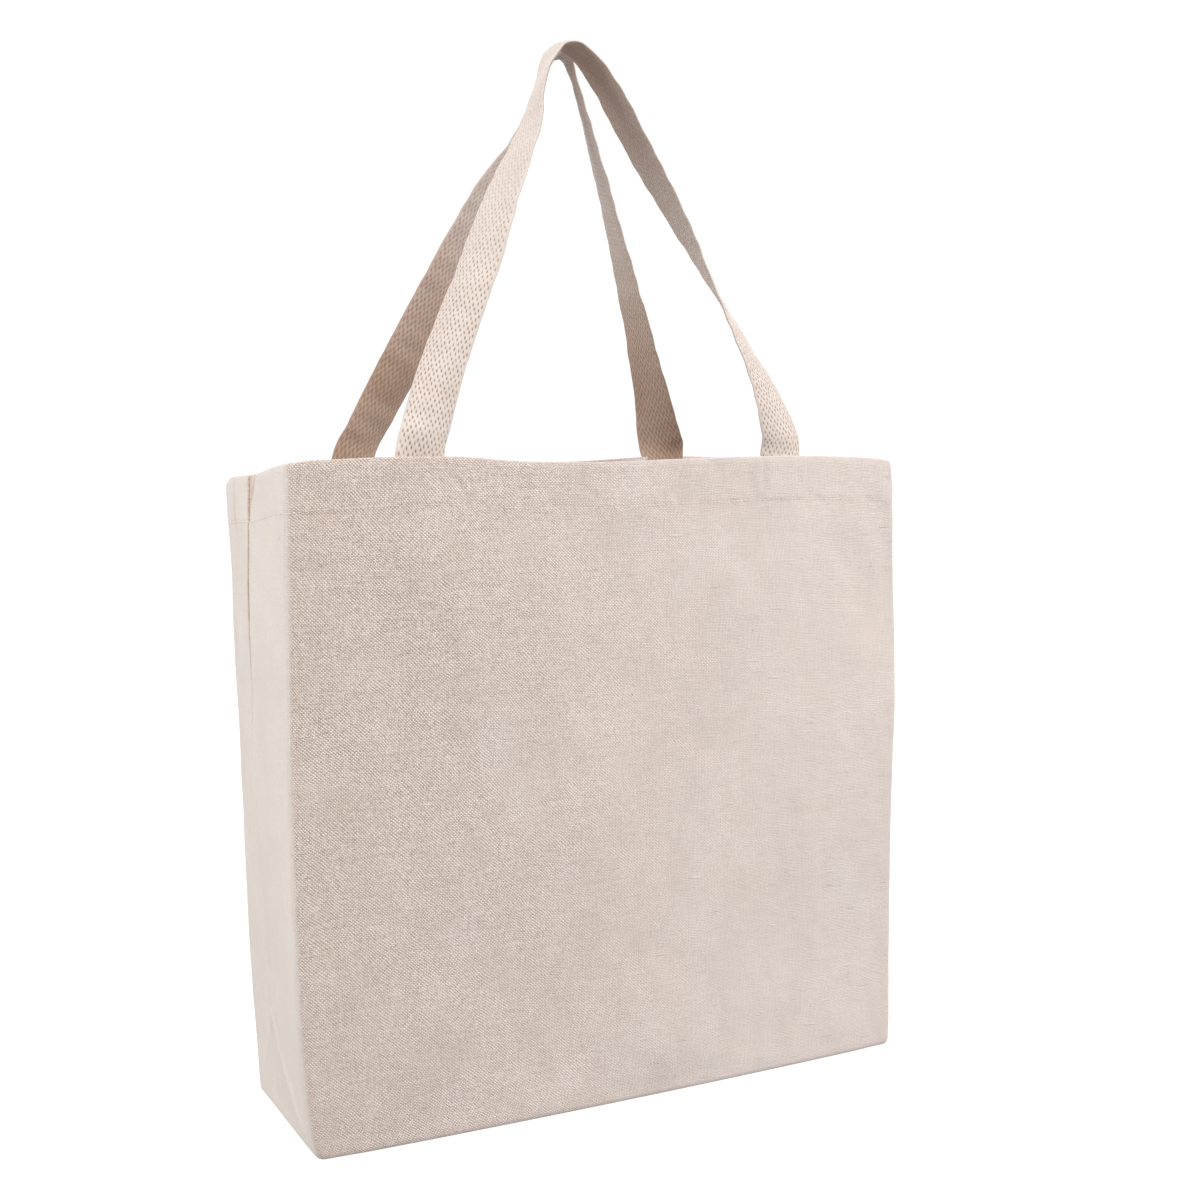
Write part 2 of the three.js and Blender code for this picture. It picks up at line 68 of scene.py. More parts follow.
# Centre line, width direction and chord of each handle: x, y, z, wx, wy, wz, width
FRONT_HANDLE = np.array([
    [-117.2, -57.2, 369.8, 0.967, 0.070, -0.243, 28.3],
    [-114.7, -55.1, 380.4, 0.969, -0.047, -0.244, 26.3],
    [-111.7, -53.0, 390.9, 0.947, -0.199, -0.254, 25.0],
    [-108.2, -51.1, 401.2, 0.901, -0.356, -0.249, 24.5],
    [-104.4, -49.1, 411.5, 0.837, -0.496, -0.233, 24.5],
    [-100.3, -47.2, 421.6, 0.767, -0.605, -0.212, 24.6],
    [-95.9, -45.4, 431.6, 0.704, -0.684, -0.192, 25.1],
    [-91.3, -43.6, 441.5, 0.651, -0.739, -0.174, 25.8],
    [-86.5, -41.8, 451.4, 0.608, -0.778, -0.157, 26.4],
    [-81.6, -40.0, 461.2, 0.572, -0.808, -0.141, 26.9],
    [-76.7, -38.2, 470.9, 0.540, -0.833, -0.123, 27.4],
    [-71.7, -36.4, 480.7, 0.508, -0.856, -0.101, 27.8],
    [-66.7, -34.6, 490.4, 0.473, -0.878, -0.073, 28.1],
    [-61.7, -32.7, 500.1, 0.433, -0.901, -0.040, 28.4],
    [-56.9, -30.7, 509.9, 0.386, -0.923, -0.001, 28.5],
    [-52.2, -28.7, 519.8, 0.331, -0.943, 0.043, 28.5],
    [-47.7, -26.6, 529.7, 0.269, -0.959, 0.087, 28.5],
    [-43.4, -24.4, 539.7, 0.202, -0.971, 0.125, 28.5],
    [-39.1, -22.2, 549.7, 0.136, -0.979, 0.151, 28.5],
    [-35.0, -20.2, 559.8, 0.077, -0.984, 0.162, 28.5],
    [-30.7, -18.3, 569.8, 0.031, -0.987, 0.155, 28.5],
    [-26.2, -16.7, 579.9, 0.006, -0.991, 0.134, 28.5],
    [-20.8, -15.6, 589.5, 0.017, -0.995, 0.096, 28.5],
    [-13.2, -14.8, 597.4, 0.041, -0.999, 0.002, 28.4],
    [-2.5, -14.8, 598.8, -0.038, -0.997, -0.068, 28.3],
    [7.3, -15.4, 593.8, -0.098, -0.995, -0.015, 28.3],
    [15.0, -16.3, 585.9, -0.093, -0.994, 0.054, 28.3],
    [20.9, -17.6, 576.6, -0.067, -0.992, 0.105, 28.3],
    [25.9, -19.1, 566.8, -0.047, -0.989, 0.138, 28.3],
    [30.6, -20.8, 556.9, -0.045, -0.987, 0.157, 28.4],
    [35.4, -22.6, 547.1, -0.056, -0.985, 0.165, 28.4],
    [40.4, -24.6, 537.4, -0.079, -0.983, 0.163, 28.5],
    [45.5, -26.6, 527.7, -0.109, -0.982, 0.152, 28.5],
    [50.5, -28.7, 518.1, -0.148, -0.980, 0.133, 28.5],
    [55.4, -30.8, 508.3, -0.197, -0.975, 0.108, 28.5],
    [60.1, -32.8, 498.5, -0.256, -0.964, 0.076, 28.5],
    [64.6, -34.8, 488.5, -0.325, -0.945, 0.038, 28.5],
    [69.1, -36.7, 478.6, -0.397, -0.918, -0.006, 28.5],
    [73.7, -38.6, 468.7, -0.464, -0.884, -0.056, 28.5],
    [78.5, -40.4, 458.8, -0.522, -0.846, -0.107, 28.5],
    [83.6, -42.2, 449.1, -0.569, -0.807, -0.157, 28.5],
    [88.9, -44.0, 439.6, -0.611, -0.766, -0.200, 28.5],
    [94.3, -45.7, 430.0, -0.653, -0.721, -0.233, 28.4],
    [99.6, -47.5, 420.5, -0.705, -0.663, -0.252, 28.2],
    [104.6, -49.4, 410.7, -0.774, -0.582, -0.248, 28.0],
    [108.8, -51.3, 400.6, -0.861, -0.464, -0.207, 27.7],
    [111.7, -53.2, 390.1, -0.950, -0.293, -0.111, 27.4],
    [112.5, -55.2, 379.2, -0.997, -0.069, 0.040, 27.0],
    [111.1, -57.2, 368.4, -0.981, 0.164, 0.102, 26.6]])
BACK_HANDLE = np.array([
    [-114.7, 56.6, 371.8, 0.881, 0.244, -0.406, 26.0],
    [-109.9, 55.2, 381.3, 0.865, 0.326, -0.382, 26.2],
    [-105.1, 53.5, 390.8, 0.875, 0.292, -0.387, 26.4],
    [-100.3, 51.7, 400.2, 0.885, 0.242, -0.398, 26.6],
    [-95.6, 49.7, 409.7, 0.890, 0.203, -0.407, 26.7],
    [-90.8, 47.7, 419.1, 0.893, 0.178, -0.414, 26.9],
    [-86.0, 45.8, 428.6, 0.894, 0.167, -0.417, 27.1],
    [-81.3, 43.8, 438.0, 0.893, 0.169, -0.417, 27.2],
    [-76.5, 42.0, 447.5, 0.890, 0.185, -0.416, 27.3],
    [-71.7, 40.2, 457.0, 0.886, 0.212, -0.413, 27.5],
    [-66.8, 38.6, 466.4, 0.878, 0.251, -0.408, 27.6],
    [-62.0, 37.0, 475.9, 0.866, 0.299, -0.400, 27.7],
    [-57.0, 35.4, 485.3, 0.849, 0.357, -0.390, 27.8],
    [-52.0, 33.9, 494.7, 0.825, 0.422, -0.376, 27.9],
    [-46.9, 32.2, 504.1, 0.795, 0.492, -0.355, 28.0],
    [-41.6, 30.5, 513.3, 0.760, 0.563, -0.325, 28.0],
    [-36.3, 28.6, 522.5, 0.723, 0.631, -0.282, 28.1],
    [-31.1, 26.6, 531.6, 0.687, 0.691, -0.224, 28.2],
    [-26.0, 24.4, 540.9, 0.655, 0.739, -0.155, 28.2],
    [-21.5, 22.1, 550.4, 0.620, 0.780, -0.086, 28.3],
    [-17.6, 19.8, 560.1, 0.572, 0.819, -0.042, 28.3],
    [-13.9, 17.8, 570.0, 0.511, 0.859, -0.038, 28.4],
    [-10.1, 16.2, 580.0, 0.439, 0.896, -0.066, 28.4],
    [-5.4, 15.1, 589.6, 0.342, 0.934, -0.108, 28.4],
    [0.7, 14.4, 598.4, 0.067, 0.995, -0.067, 28.5],
    [9.8, 14.6, 598.3, 0.147, 0.929, 0.338, 28.5],
    [14.9, 15.6, 588.9, 0.314, 0.914, 0.257, 28.5],
    [19.1, 16.8, 579.0, 0.301, 0.918, 0.259, 28.5],
    [23.1, 18.5, 569.2, 0.276, 0.920, 0.277, 28.5],
    [27.0, 20.4, 559.4, 0.251, 0.924, 0.288, 28.5],
    [31.0, 22.5, 549.5, 0.227, 0.930, 0.289, 28.5],
    [34.9, 24.6, 539.7, 0.203, 0.938, 0.282, 28.5],
    [38.7, 26.7, 529.9, 0.179, 0.946, 0.269, 28.5],
    [42.5, 28.7, 520.0, 0.151, 0.956, 0.253, 28.5],
    [46.2, 30.7, 510.1, 0.122, 0.964, 0.235, 28.5],
    [49.9, 32.6, 500.2, 0.089, 0.972, 0.216, 28.5],
    [53.5, 34.5, 490.2, 0.053, 0.979, 0.198, 28.5],
    [57.1, 36.3, 480.3, 0.014, 0.983, 0.182, 28.5],
    [60.7, 38.1, 470.3, -0.028, 0.985, 0.168, 28.5],
    [64.2, 39.9, 460.3, -0.073, 0.985, 0.154, 28.5],
    [67.8, 41.7, 450.3, -0.121, 0.983, 0.141, 28.5],
    [71.4, 43.6, 440.3, -0.174, 0.977, 0.125, 28.5],
    [74.9, 45.5, 430.3, -0.233, 0.967, 0.107, 28.5],
    [78.5, 47.5, 420.4, -0.295, 0.952, 0.086, 28.5],
    [81.9, 49.5, 410.4, -0.360, 0.931, 0.063, 28.5],
    [85.2, 51.5, 400.3, -0.431, 0.902, 0.036, 28.5],
    [88.4, 53.4, 390.2, -0.533, 0.846, -0.004, 28.5],
    [91.3, 55.3, 380.0, -0.727, 0.682, -0.082, 28.5],
    [94.0, 56.9, 369.7, -0.968, 0.077, -0.238, 28.5]])


# ---------------------------------------------------------------- small maths
def smooth(t):
    t = np.clip(t, 0, 1)
    return t * t * (3 - 2 * t)


def tab(x, pairs):
    """Smooth reading of a table of (x, value)."""
    p = np.array(sorted(pairs), float)
    xs, ys = p[:, 0], p[:, 1]
    m = np.gradient(ys, xs)
    x = np.asarray(x, float)
    i = np.clip(np.searchsorted(xs, x) - 1, 0, len(xs) - 2)
    h = xs[i + 1] - xs[i]
    t = np.clip((x - xs[i]) / h, 0, 1)
    a = (1 + 2 * t) * (1 - t) ** 2
    b = t * (1 - t) ** 2
    c = t * t * (3 - 2 * t)
    d = t * t * (t - 1)
    return a * ys[i] + b * h * m[i] + c * ys[i + 1] + d * h * m[i + 1]


class Waves:
    """A seeded smooth random field: a sum of plane waves, about unit amplitude."""

    def __init__(self, seed, n, lo, hi, stretch=(1, 1, 1)):
        r = np.random.default_rng(seed)
        d = r.normal(size=(n, 3))
        d /= np.linalg.norm(d, axis=1)[:, None]
        wave = np.exp(r.uniform(np.log(lo), np.log(hi), n))
        self.k = 2 * np.pi * d / wave[:, None] / np.array(stretch)
        self.p = r.uniform(0, 2 * np.pi, n)
        self.n = n

    def __call__(self, x, y, z):
        out = np.zeros(np.broadcast(x, y, z).shape)
        for (a, b, c), p in zip(self.k, self.p):
            out += np.sin(a * x + b * y + c * z + p)
        return out / math.sqrt(self.n / 2)


SWELL = Waves(3, 18, 90, 220)
DRAPE = Waves(5, 22, 26, 60, (1, 1, 4))
CRINKLE = Waves(8, 30, 9, 24, (1, 1, 2.2))
PUCKER = Waves(11, 24, 4.5, 10, (1, 1, 1.5))
EDGE = Waves(13, 16, 12, 50)


def mesh_object(name, verts_mm, faces, smooth_angle=50):
    me = bpy.data.meshes.new(name)
    v = np.asarray(verts_mm, np.float64) * 0.001
    f = np.asarray(faces, np.int32)
    me.vertices.add(len(v))
    me.vertices.foreach_set("co", v.astype(np.float32).ravel())
    n = f.shape[1]
    me.loops.add(f.size)
    me.loops.foreach_set("vertex_index", f.ravel())
    me.polygons.add(len(f))
    me.polygons.foreach_set("loop_start", np.arange(0, f.size, n, dtype=np.int32))
    me.update(calc_edges=True)
    me.validate()
    me.polygons.foreach_set("use_smooth", np.ones(len(me.polygons), bool))
    if smooth_angle:
        me.set_sharp_from_angle(angle=math.radians(smooth_angle))
    o = bpy.data.objects.new(name, me)
    bpy.context.scene.collection.objects.link(o)
    return o


def outward(verts, faces):
    """Faces turned so that the closed mesh has a positive volume."""
    v = np.asarray(verts, float)
    f = np.asarray(faces)
    a, b, c, d = (v[f[:, k]] for k in range(4))
    vol = np.einsum("ij,ij->i", a, np.cross(b, c)).sum() + np.einsum("ij,ij->i", a, np.cross(c, d)).sum()
    return f if vol > 0 else f[:, ::-1]


def attribute(o, name, values):
    values = np.asarray(values, np.float32)
    if values.ndim == 1:
        at = o.data.attributes.new(name, "FLOAT", "POINT")
        at.data.foreach_set("value", values)
    else:
        at = o.data.attributes.new(name, "FLOAT_VECTOR", "POINT")
        at.data.foreach_set("vector", values.ravel())


def slab(name, loops, attrs):
    """A closed cloth from C columns, each a closed loop of K points that runs up the outside, over the top
    and down the inside, so that point k faces point K-1-k. Both ends are closed by a ladder of quads."""
    C, K, _ = loops.shape
    idx = np.arange(C * K).reshape(C, K)
    nxt = np.roll(idx, -1, axis=1)
    side = np.stack([idx[:-1], idx[1:], nxt[1:], nxt[:-1]], -1).reshape(-1, 4)
    caps = []
    half = K // 2
    k = np.arange(half - 1)
    for c, flip in ((0, False), (C - 1, True)):
        q = np.stack([idx[c, k], idx[c, k + 1], idx[c, K - 2 - k], idx[c, K - 1 - k]], -1)
        caps.append(q[:, ::-1] if flip else q)
    faces = np.concatenate([side] + caps)
    verts = loops.reshape(-1, 3)
    o = mesh_object(name, verts, outward(verts, faces))
    for key, value in attrs.items():
        attribute(o, key, value.reshape(C * K, -1) if value.ndim == 3 else value.reshape(-1))
    return o


# ---------------------------------------------------------------- outline of the bag
XL_FRONT = [(0, -182.6), (7, -184.4), (20, -186.6), (40, -188.6), (70, -190.8), (100, -191.7), (150, -192.4),
            (205, -192.7), (260, -192.2), (310, -191.4), (345, -190.8), (372, -190.4)]
XL_BACK = [(0, -181.2), (5, -181.7), (32, -182.9), (77, -185.2), (140, -187.0), (192, -189.1), (236, -190.2),
           (296, -191.8), (352, -192.3), (372, -192.0)]
X_RIGHT = [(0, 190.3), (26, 190.8), (65, 191.2), (110, 191.8), (154, 192.4), (186, 193.0), (224, 193.8),
           (280, 194.2), (330, 193.2), (352, 192.0), (362, 191.0), (372, 189.6)]
RIM_FRONT = [(-192, 366.4), (-189.9, 366.9), (-183.6, 367.9), (-170.9, 368.3), (-129.7, 369.7), (-103.8, 369.7),
             (-91.2, 369.3), (-84.2, 368.8), (-73.7, 367.8), (-55.9, 366.8), (-30.4, 366.4), (-4.2, 366.4),
             (7.2, 366.8), (30, 367.5), (55.6, 368.2), (82.8, 368.8), (111, 369.3), (124.8, 369.2), (155.3, 368.5),
             (173.1, 367.9), (182, 367.7), (187, 367.2), (191, 366.0)]
RIM_BACK = [(-193, 352.0), (-190, 353.8), (-186, 356.6), (-176, 359.6), (-160, 361.6), (-145, 363.4), (-130, 367.2), (-113.6, 369.7),
            (-96, 369.3), (-60, 367.4), (-10, 366.8), (40, 368.0), (75, 370.0), (94.6, 370.8), (120, 370.4),
            (150, 368.8), (180, 366.6), (188, 364.8), (193, 362.4)]
RIM_LEFT = [(-58.5, 366.5), (-52, 366.4), (-45, 366.1), (-37.6, 365.6), (-26, 364.5), (-15.1, 363.1), (-4, 361.9),
            (8.3, 361.2), (20, 360.8), (32.7, 360.6), (44, 360.5), (48, 360.0), (51, 358.7), (53.5, 356.9), (55.5, 355.0), (58.5, 352.0)]
RIM_RIGHT = [(-58.5, 365.9), (-52, 365.3), (-45, 363.2), (-30, 361.6), (0, 361.0), (30, 361.4), (52, 362.6), (58.5, 363.4)]


def seam_y(z):
    """The side seam wanders back as it goes down."""
    return 8.0 + 9.5 * smooth((352 - z) / 130.0)


def face_bow(x, z, side):
    """How far a face stands out of its flat plane: the base is pushed out, the rim is drawn straight."""
    s = np.clip((x + 190) / 380.0, 0, 1)
    across = np.sin(np.pi * s) ** 0.75
    up = np.clip(z / HEIGHT, 0, 1)
    low = 4.2 * (1 - smooth(up / 0.55)) + 2.6 * np.sin(np.pi * np.clip(up, 0, 1)) ** 2
    return across * low * (1.0 if side < 0 else 0.8)


def side_bow(y, z, side):
    across = np.cos(np.pi * y / 2 / 62.0)
    up = np.clip(z / HEIGHT, 0, 1)
    if side < 0:
        return across * (2.2 * np.sin(np.pi * up) ** 1.5)
    return across * (1.6 * np.sin(np.pi * up) ** 1.2)


def line_dist(a, b, p0, p1):
    """Distance of (a, b) from the segment p0-p1, and how far along it."""
    ax, ay = p0
    bx, by = p1
    dx, dy = bx - ax, by - ay
    n2 = dx * dx + dy * dy
    t = np.clip(((a - ax) * dx + (b - ay) * dy) / n2, 0, 1)
    return np.hypot(a - ax - t * dx, b - ay - t * dy), t, ((a - ax) * dy - (b - ay) * dx) / math.sqrt(n2)


def crease(a, b, p0, p1, depth, width):
    d, t, s = line_dist(a, b, p0, p1)
    return depth * np.exp(-((d / width) ** 2)) * np.sin(np.pi * np.clip(t, 0.02, 0.98)) ** 0.5


def common_relief(x, y, z, top):
    """Soft swells, drape folds and crinkles that every wall shares."""
    hang = smooth((top - z) / 60.0)
    low = smooth(z / 30.0)
    out = 0.8 * SWELL(x, y, z) * hang * low
    out = out + (0.18 + 0.30 * np.exp(-((top - z - 60) / 75.0) ** 2)) * DRAPE(x, y, z) * (0.3 + 0.7 * hang) * low
    out = out + 0.10 * CRINKLE(x, y, z)
    return out


def hem_relief(x, y, z, top):
    """The doubled hem stands a little proud, with a puckered groove where it is stitched down."""
    h = top - z
    out = 0.17 * smooth((HEM + 0.8 - h) / 2.2)
    groove = np.exp(-(((h - STITCH_H) / 1.15) ** 2))
    out = out - 0.20 * groove
    near = np.exp(-(((h - STITCH_H) / 5.0) ** 2))
    out = out + 0.13 * PUCKER(x, y, z) * near + 0.05 * PUCKER(x * 0.7, y, z) * (h < HEM)
    out = out - 0.25 * np.exp(-((h / 1.3) ** 2))
    return out


def tail_relief(x, z, top, cx, tilt):
    """A handle's sewn-in end shows through the hem as a soft rectangle."""
    h = top - z
    xx = x - cx + tilt * h
    inside = smooth((STRAP_W / 2 + 0.9 - np.abs(xx)) / 1.8) * smooth((25.0 - h) / 2.0)
    out = 0.30 * inside
    edge = np.exp(-(((np.abs(xx) - STRAP_W / 2 - 1.0) / 1.5) ** 2)) * (h < 27)
    return out - 0.12 * edge


def front_relief(x, z, top):
    y = -HALF_D + 0 * x
    out = common_relief(x, y, z, top) + hem_relief(x, y, z, top)
    for cx, tilt in ((FEET["front"][0], 0.10), (FEET["front"][1], -0.02)):
        out = out + tail_relief(x, z, top, cx, tilt)
        # the cloth is drawn towards each handle below the hem
        pull = np.exp(-(((x - cx) / 22.0) ** 2)) * np.exp(-(((top - z - 34) / 40.0) ** 2))
        out = out + 0.5 * pull
    # sharp little folds by the handle ends
    out = out - crease(x, z, (-101.0, 360.5), (-92.5, 349.5), 0.75, 1.5) - crease(x, z, (-92.8, 351.0), (-92.5, 339.0), 0.55, 1.4)
    out = out + crease(x, z, (-98.5, 361.5), (-89.8, 350.0), 0.45, 1.6)
    out = out - crease(x, z, (97.0, 369.0), (96.2, 343.0), 0.75, 1.9) + crease(x, z, (92.6, 369.0), (92.4, 345.0), 0.4, 2.2)
    # long soft upright folds
    for p0, p1, d, w in (((-120, 336), (-118, 262), 0.55, 5.0), ((-109, 333), (-110, 236), -0.5, 5.5),
                         ((-98, 318), (-97, 205), 0.45, 7.0), ((52, 352), (55, 300), -0.45, 4.0),
                         ((60, 356), (62, 285), 0.4, 5.0), ((-72, 362), (-69, 290), -0.4, 6.0),
                         ((12, 362), (8, 322), 0.35, 5.0), ((133, 352), (120, 262), -0.5, 7.0),
                         ((163, 338), (182, 292), 0.8, 8.0), ((150, 320), (176, 262), -0.6, 9.0),
                         ((-150, 250), (-153, 120), 0.35, 10.0), ((30, 240), (24, 110), 0.35, 12.0),
                         ((118, 210), (112, 70), -0.35, 12.0)):
        out = out + crease(x, z, p0, p1, d, w)
    return out


def back_relief(x, z, top):
    y = HALF_D + 0 * x
    out = common_relief(x, y, z, top) + hem_relief(x, y, z, top)
    for cx, tilt in ((FEET["back"][0], 0.12), (FEET["back"][1], 0.05)):
        out = out + tail_relief(x, z, top, cx, tilt)
        pull = np.exp(-(((x - cx) / 22.0) ** 2)) * np.exp(-(((top - z - 34) / 40.0) ** 2))
        out = out + 0.5 * pull
    for p0, p1, d, w in (((-121, 338), (-117, 255), 0.5, 5.0), ((-104, 332), (-106, 230), -0.5, 6.0),
                         ((86, 334), (88, 240), 0.5, 6.0), ((103, 338), (106, 262), -0.5, 5.0),
                         ((-40, 352), (-36, 280), 0.35, 6.0), ((150, 330), (165, 262), 0.5, 9.0),
                         ((10, 260), (18, 120), -0.35, 12.0)):
        out = out + crease(x, z, p0, p1, d, w)
    # flat where a handle hangs down against it
    for cx in FEET["back"]:
        m = smooth((44 - np.abs(x - cx)) / 10.0) * smooth((z - 300) / 15.0)
        out = out * (1 - m) + np.minimum(out, 0.05) * m
    return out


def fold_triangle(y, z, apex_y, apex_z):
    """The pressed creases left by the base folding up when the bag lies flat."""
    out = 0 * y
    for p0, p1 in (((-54.0, 2.0), (apex_y, apex_z)), ((54.0, 4.0), (apex_y, apex_z))):
        d, t, s = line_dist(y, z, p0, p1)
        k = 1.7 if p0[0] < 0 else 0.5
        out = out + k * np.exp(-((d / 1.7) ** 2)) * (0.35 + 0.65 * smooth(t * 3))
    inside = (z < apex_z) * np.clip(1 - np.abs(y - apex_y * z / apex_z) / np.maximum(54 * (1 - z / apex_z), 1), 0, 1)
    return out - 0.9 * smooth(inside * 1.3)


def left_relief(y, z, top):
    x = -190 + 0 * y
    ys = seam_y(z)
    out = common_relief(x, y, z, top) * 0.8 + hem_relief(x, y, z, top)
    fade = 0.22 + 0.78 * smooth((z - 205) / 60.0)
    bottom = smooth((z - 62) / 12.0)
    out = out - 1.7 * np.exp(-(((y - ys) / 0.75) ** 2)) * fade * bottom
    # the doubled allowance behind the seam makes a soft ridge
    out = out + 0.45 * np.exp(-(((y - ys + 3.2) / 2.4) ** 2)) * fade * bottom + 0.35 * np.exp(-(((y - ys - 2.8) / 2.6) ** 2)) * fade * bottom
    # above the hem's stitches the seam opens into a narrow wedge
    wedge = smooth((z - 334) / 4.0)
    yw = 8.0 - 9.6 * np.clip((z - 334) / 27.0, 0, 1.1)
    out = out - 0.9 * np.exp(-(((y - yw) / 0.8) ** 2)) * wedge
    out = out - 0.35 * wedge * smooth((y - yw) / 0.8) * smooth((ys - y) / 0.8)
    out = out + crease(y, z, (35.5, 361.0), (40.5, 330.0), 0.55, 1.5) - crease(y, z, (38.8, 361.0), (43.2, 334.0), 0.35, 1.5)
    out = out + fold_triangle(y, z, 8.0, 62.0)
    out = out + crease(y, z, (8.0, 62.0), (17.0, 150.0), 0.5, 2.2) - crease(y, z, (26.0, 210.0), (24.0, 70.0), 0.45, 7.0)
    out = out + 0.9 * crease(y, z, (-30.0, 352.0), (-22.0, 240.0), 0.5, 9.0)
    return out


def right_relief(y, z, top):
    x = 190 + 0 * y
    ys = seam_y(z)
    out = common_relief(x, y, z, top) * 0.8 + hem_relief(x, y, z, top)
    bottom = smooth((z - 62) / 12.0)
    fade = 0.4 + 0.6 * smooth((z - 205) / 60.0)
    out = out - 1.5 * np.exp(-(((y - ys) / 0.75) ** 2)) * fade * bottom
    out = out + 0.45 * np.exp(-(((y - ys + 3.2) / 2.4) ** 2)) * fade * bottom + 0.35 * np.exp(-(((y - ys - 2.8) / 2.6) ** 2)) * fade * bottom
    out = out + fold_triangle(y, z, 6.0, 60.0)
    out = out - crease(y, z, (22.0, 205.0), (20.0, 70.0), 0.45, 7.0)
    return out


# ---------------------------------------------------------------- the cloth walls
TOP_ROWS = np.concatenate([np.arange(0, 3.0, 0.75), np.arange(3.0, 22.0, 1.15), np.arange(22.0, 28.5, 0.55), np.arange(28.5, 36.0, 1.2)])
LOW_ROWS = np.linspace(0, 1, 128) ** 1.0


def profile_rows():
    """Rows from the base's cut edge, round the bottom fold and up to the rim: (kind, value)."""
    rows = [("base", 6.5), ("base", 5.3)]
    for a in np.linspace(0, 90, 8)[:-1]:
        rows.append(("arc", a))
    for s in LOW_ROWS:
        rows.append(("low", s))
    for h in TOP_ROWS[::-1]:
        rows.append(("top", h))
    return rows


ROWS = profile_rows()
RIM_ARC = 4                    # points over the rim's fold, each side


def wall(name, columns, relief, rim_of, body, painted_groove_shade=None, seam_side=None, flip_u=1):
    """columns: a function of a column's number and z giving outline x, y, outward nx, ny and u along the cloth."""
    n = columns.count
    outer = np.zeros((n, len(ROWS), 3))
    inner = np.zeros_like(outer)
    uv_o = np.zeros((n, len(ROWS), 3))
    painted_groove_shade_o = np.zeros((n, len(ROWS)))
    c = np.arange(n)
    top = rim_of(columns, c)
    for r, (kind, val) in enumerate(ROWS):
        if kind == "base":
            z = np.zeros(n)
            inset = np.full(n, val)
            zi = np.full(n, CLOTH)
            zo = z
        elif kind == "arc":
            a = math.radians(val)
            inset = np.full(n, RB * (1 - math.sin(a)))
            zo = np.full(n, RB * (1 - math.cos(a)))
            zi = np.full(n, RB - (RB - CLOTH) * math.cos(a))
            z = zo
        elif kind == "low":
            inset = np.zeros(n)
            z = RB + (top - TOP_ROWS[-1] - (TOP_ROWS[-1] - TOP_ROWS[-2]) - RB) * val
            zo = zi = z
        else:
            inset = np.zeros(n)
            z = top - val
            zo = zi = z
        x, y, nx, ny, u = columns.at(c, z, inset)
        if kind in ("low", "top"):
            d = relief(columns, x, y, z, top) * smooth((z - RB) / 10.0)
            if kind == "low" and val == 0:
                d = d * 0
        else:
            d = np.zeros(n)
        h = top - z
        t = np.full(n, CLOTH)
        if kind == "top":
            t = CLOTH + (CLOTH + 0.25) * smooth((HEM + 0.5 - h) / 1.3)
        if kind == "arc":
            s = math.sin(math.radians(val))
            inner_inset = inset + CLOTH * s
        elif kind == "base":
            inner_inset = inset
        else:
            inner_inset = inset + t
        xi, yi, _, _, _ = columns.at(c, z, inner_inset)
        outer[:, r] = np.stack([x + nx * d, y + ny * d, zo], -1)
        di = d
        if kind == "top":
            # the inside keeps the swells but not the outside's hem step
            di = d - 0.17 * smooth((HEM + 0.8 - h) / 2.2)
        inner[:, r] = np.stack([xi + nx * di, yi + ny * di, zi], -1)
        along = z if kind in ("low", "top") else (RB * 1.57 * (val / 90.0 - 1) + RB if kind == "arc" else -val + RB - RB * 1.57 + RB)
        uv_o[:, r] = np.stack([u, along + 0 * u, 0 * u], -1)
        # painted shade for grooves, where a function for it is given
        if painted_groove_shade is not None and kind in ("low", "top"):
            painted_groove_shade_o[:, r] = painted_groove_shade(x, y, z, top)
    # the rim: a rounded fold from the outer top row to the inner top row
    po, pi = outer[:, -1], inner[:, -1]
    arc = []
    uva = []
    half = np.linalg.norm(po - pi, axis=1) / 2
    for k in range(1, 2 * RIM_ARC):
        a = math.pi * k / (2 * RIM_ARC)
        mid = (po + pi) / 2
        q = mid + (po - pi) / 2 * math.cos(a)
        q[:, 2] += half * math.sin(a) * 0.9
        arc.append(q)
        w = uv_o[:, -1].copy()
        w[:, 1] += half * a
        uva.append(w)
    # an even number of points is needed: repeat none, so the arc has an odd count; split the middle one
    mid_k = len(arc) // 2
    m0 = arc[mid_k] + (po - pi) * 0.06
    m1 = arc[mid_k] - (po - pi) * 0.06
    arc = arc[:mid_k] + [m0, m1] + arc[mid_k + 1:]
    uva = uva[:mid_k] + [uva[mid_k], uva[mid_k]] + uva[mid_k + 1:]
    # all of it sits lower by the fold's height, so that the rim's top is where the outline says
    loops = np.concatenate([outer, np.stack(arc, 1), inner[:, ::-1]], axis=1)
    uvi = uv_o[:, ::-1].copy()
    uvi[..., 0] = uvi[..., 0] + 900.0
    uvs = np.concatenate([uv_o, np.stack(uva, 1), uvi], axis=1)
    # the painted groove shade lies on the outside only
    painted_groove_shades = np.concatenate([painted_groove_shade_o, np.zeros((n, len(arc))), painted_groove_shade_o[:, ::-1] * 0], axis=1)
    o = slab(name, loops, {"cloth": uvs, "painted_groove_shade": painted_groove_shades})
    return o, outer, inner, uv_o, top


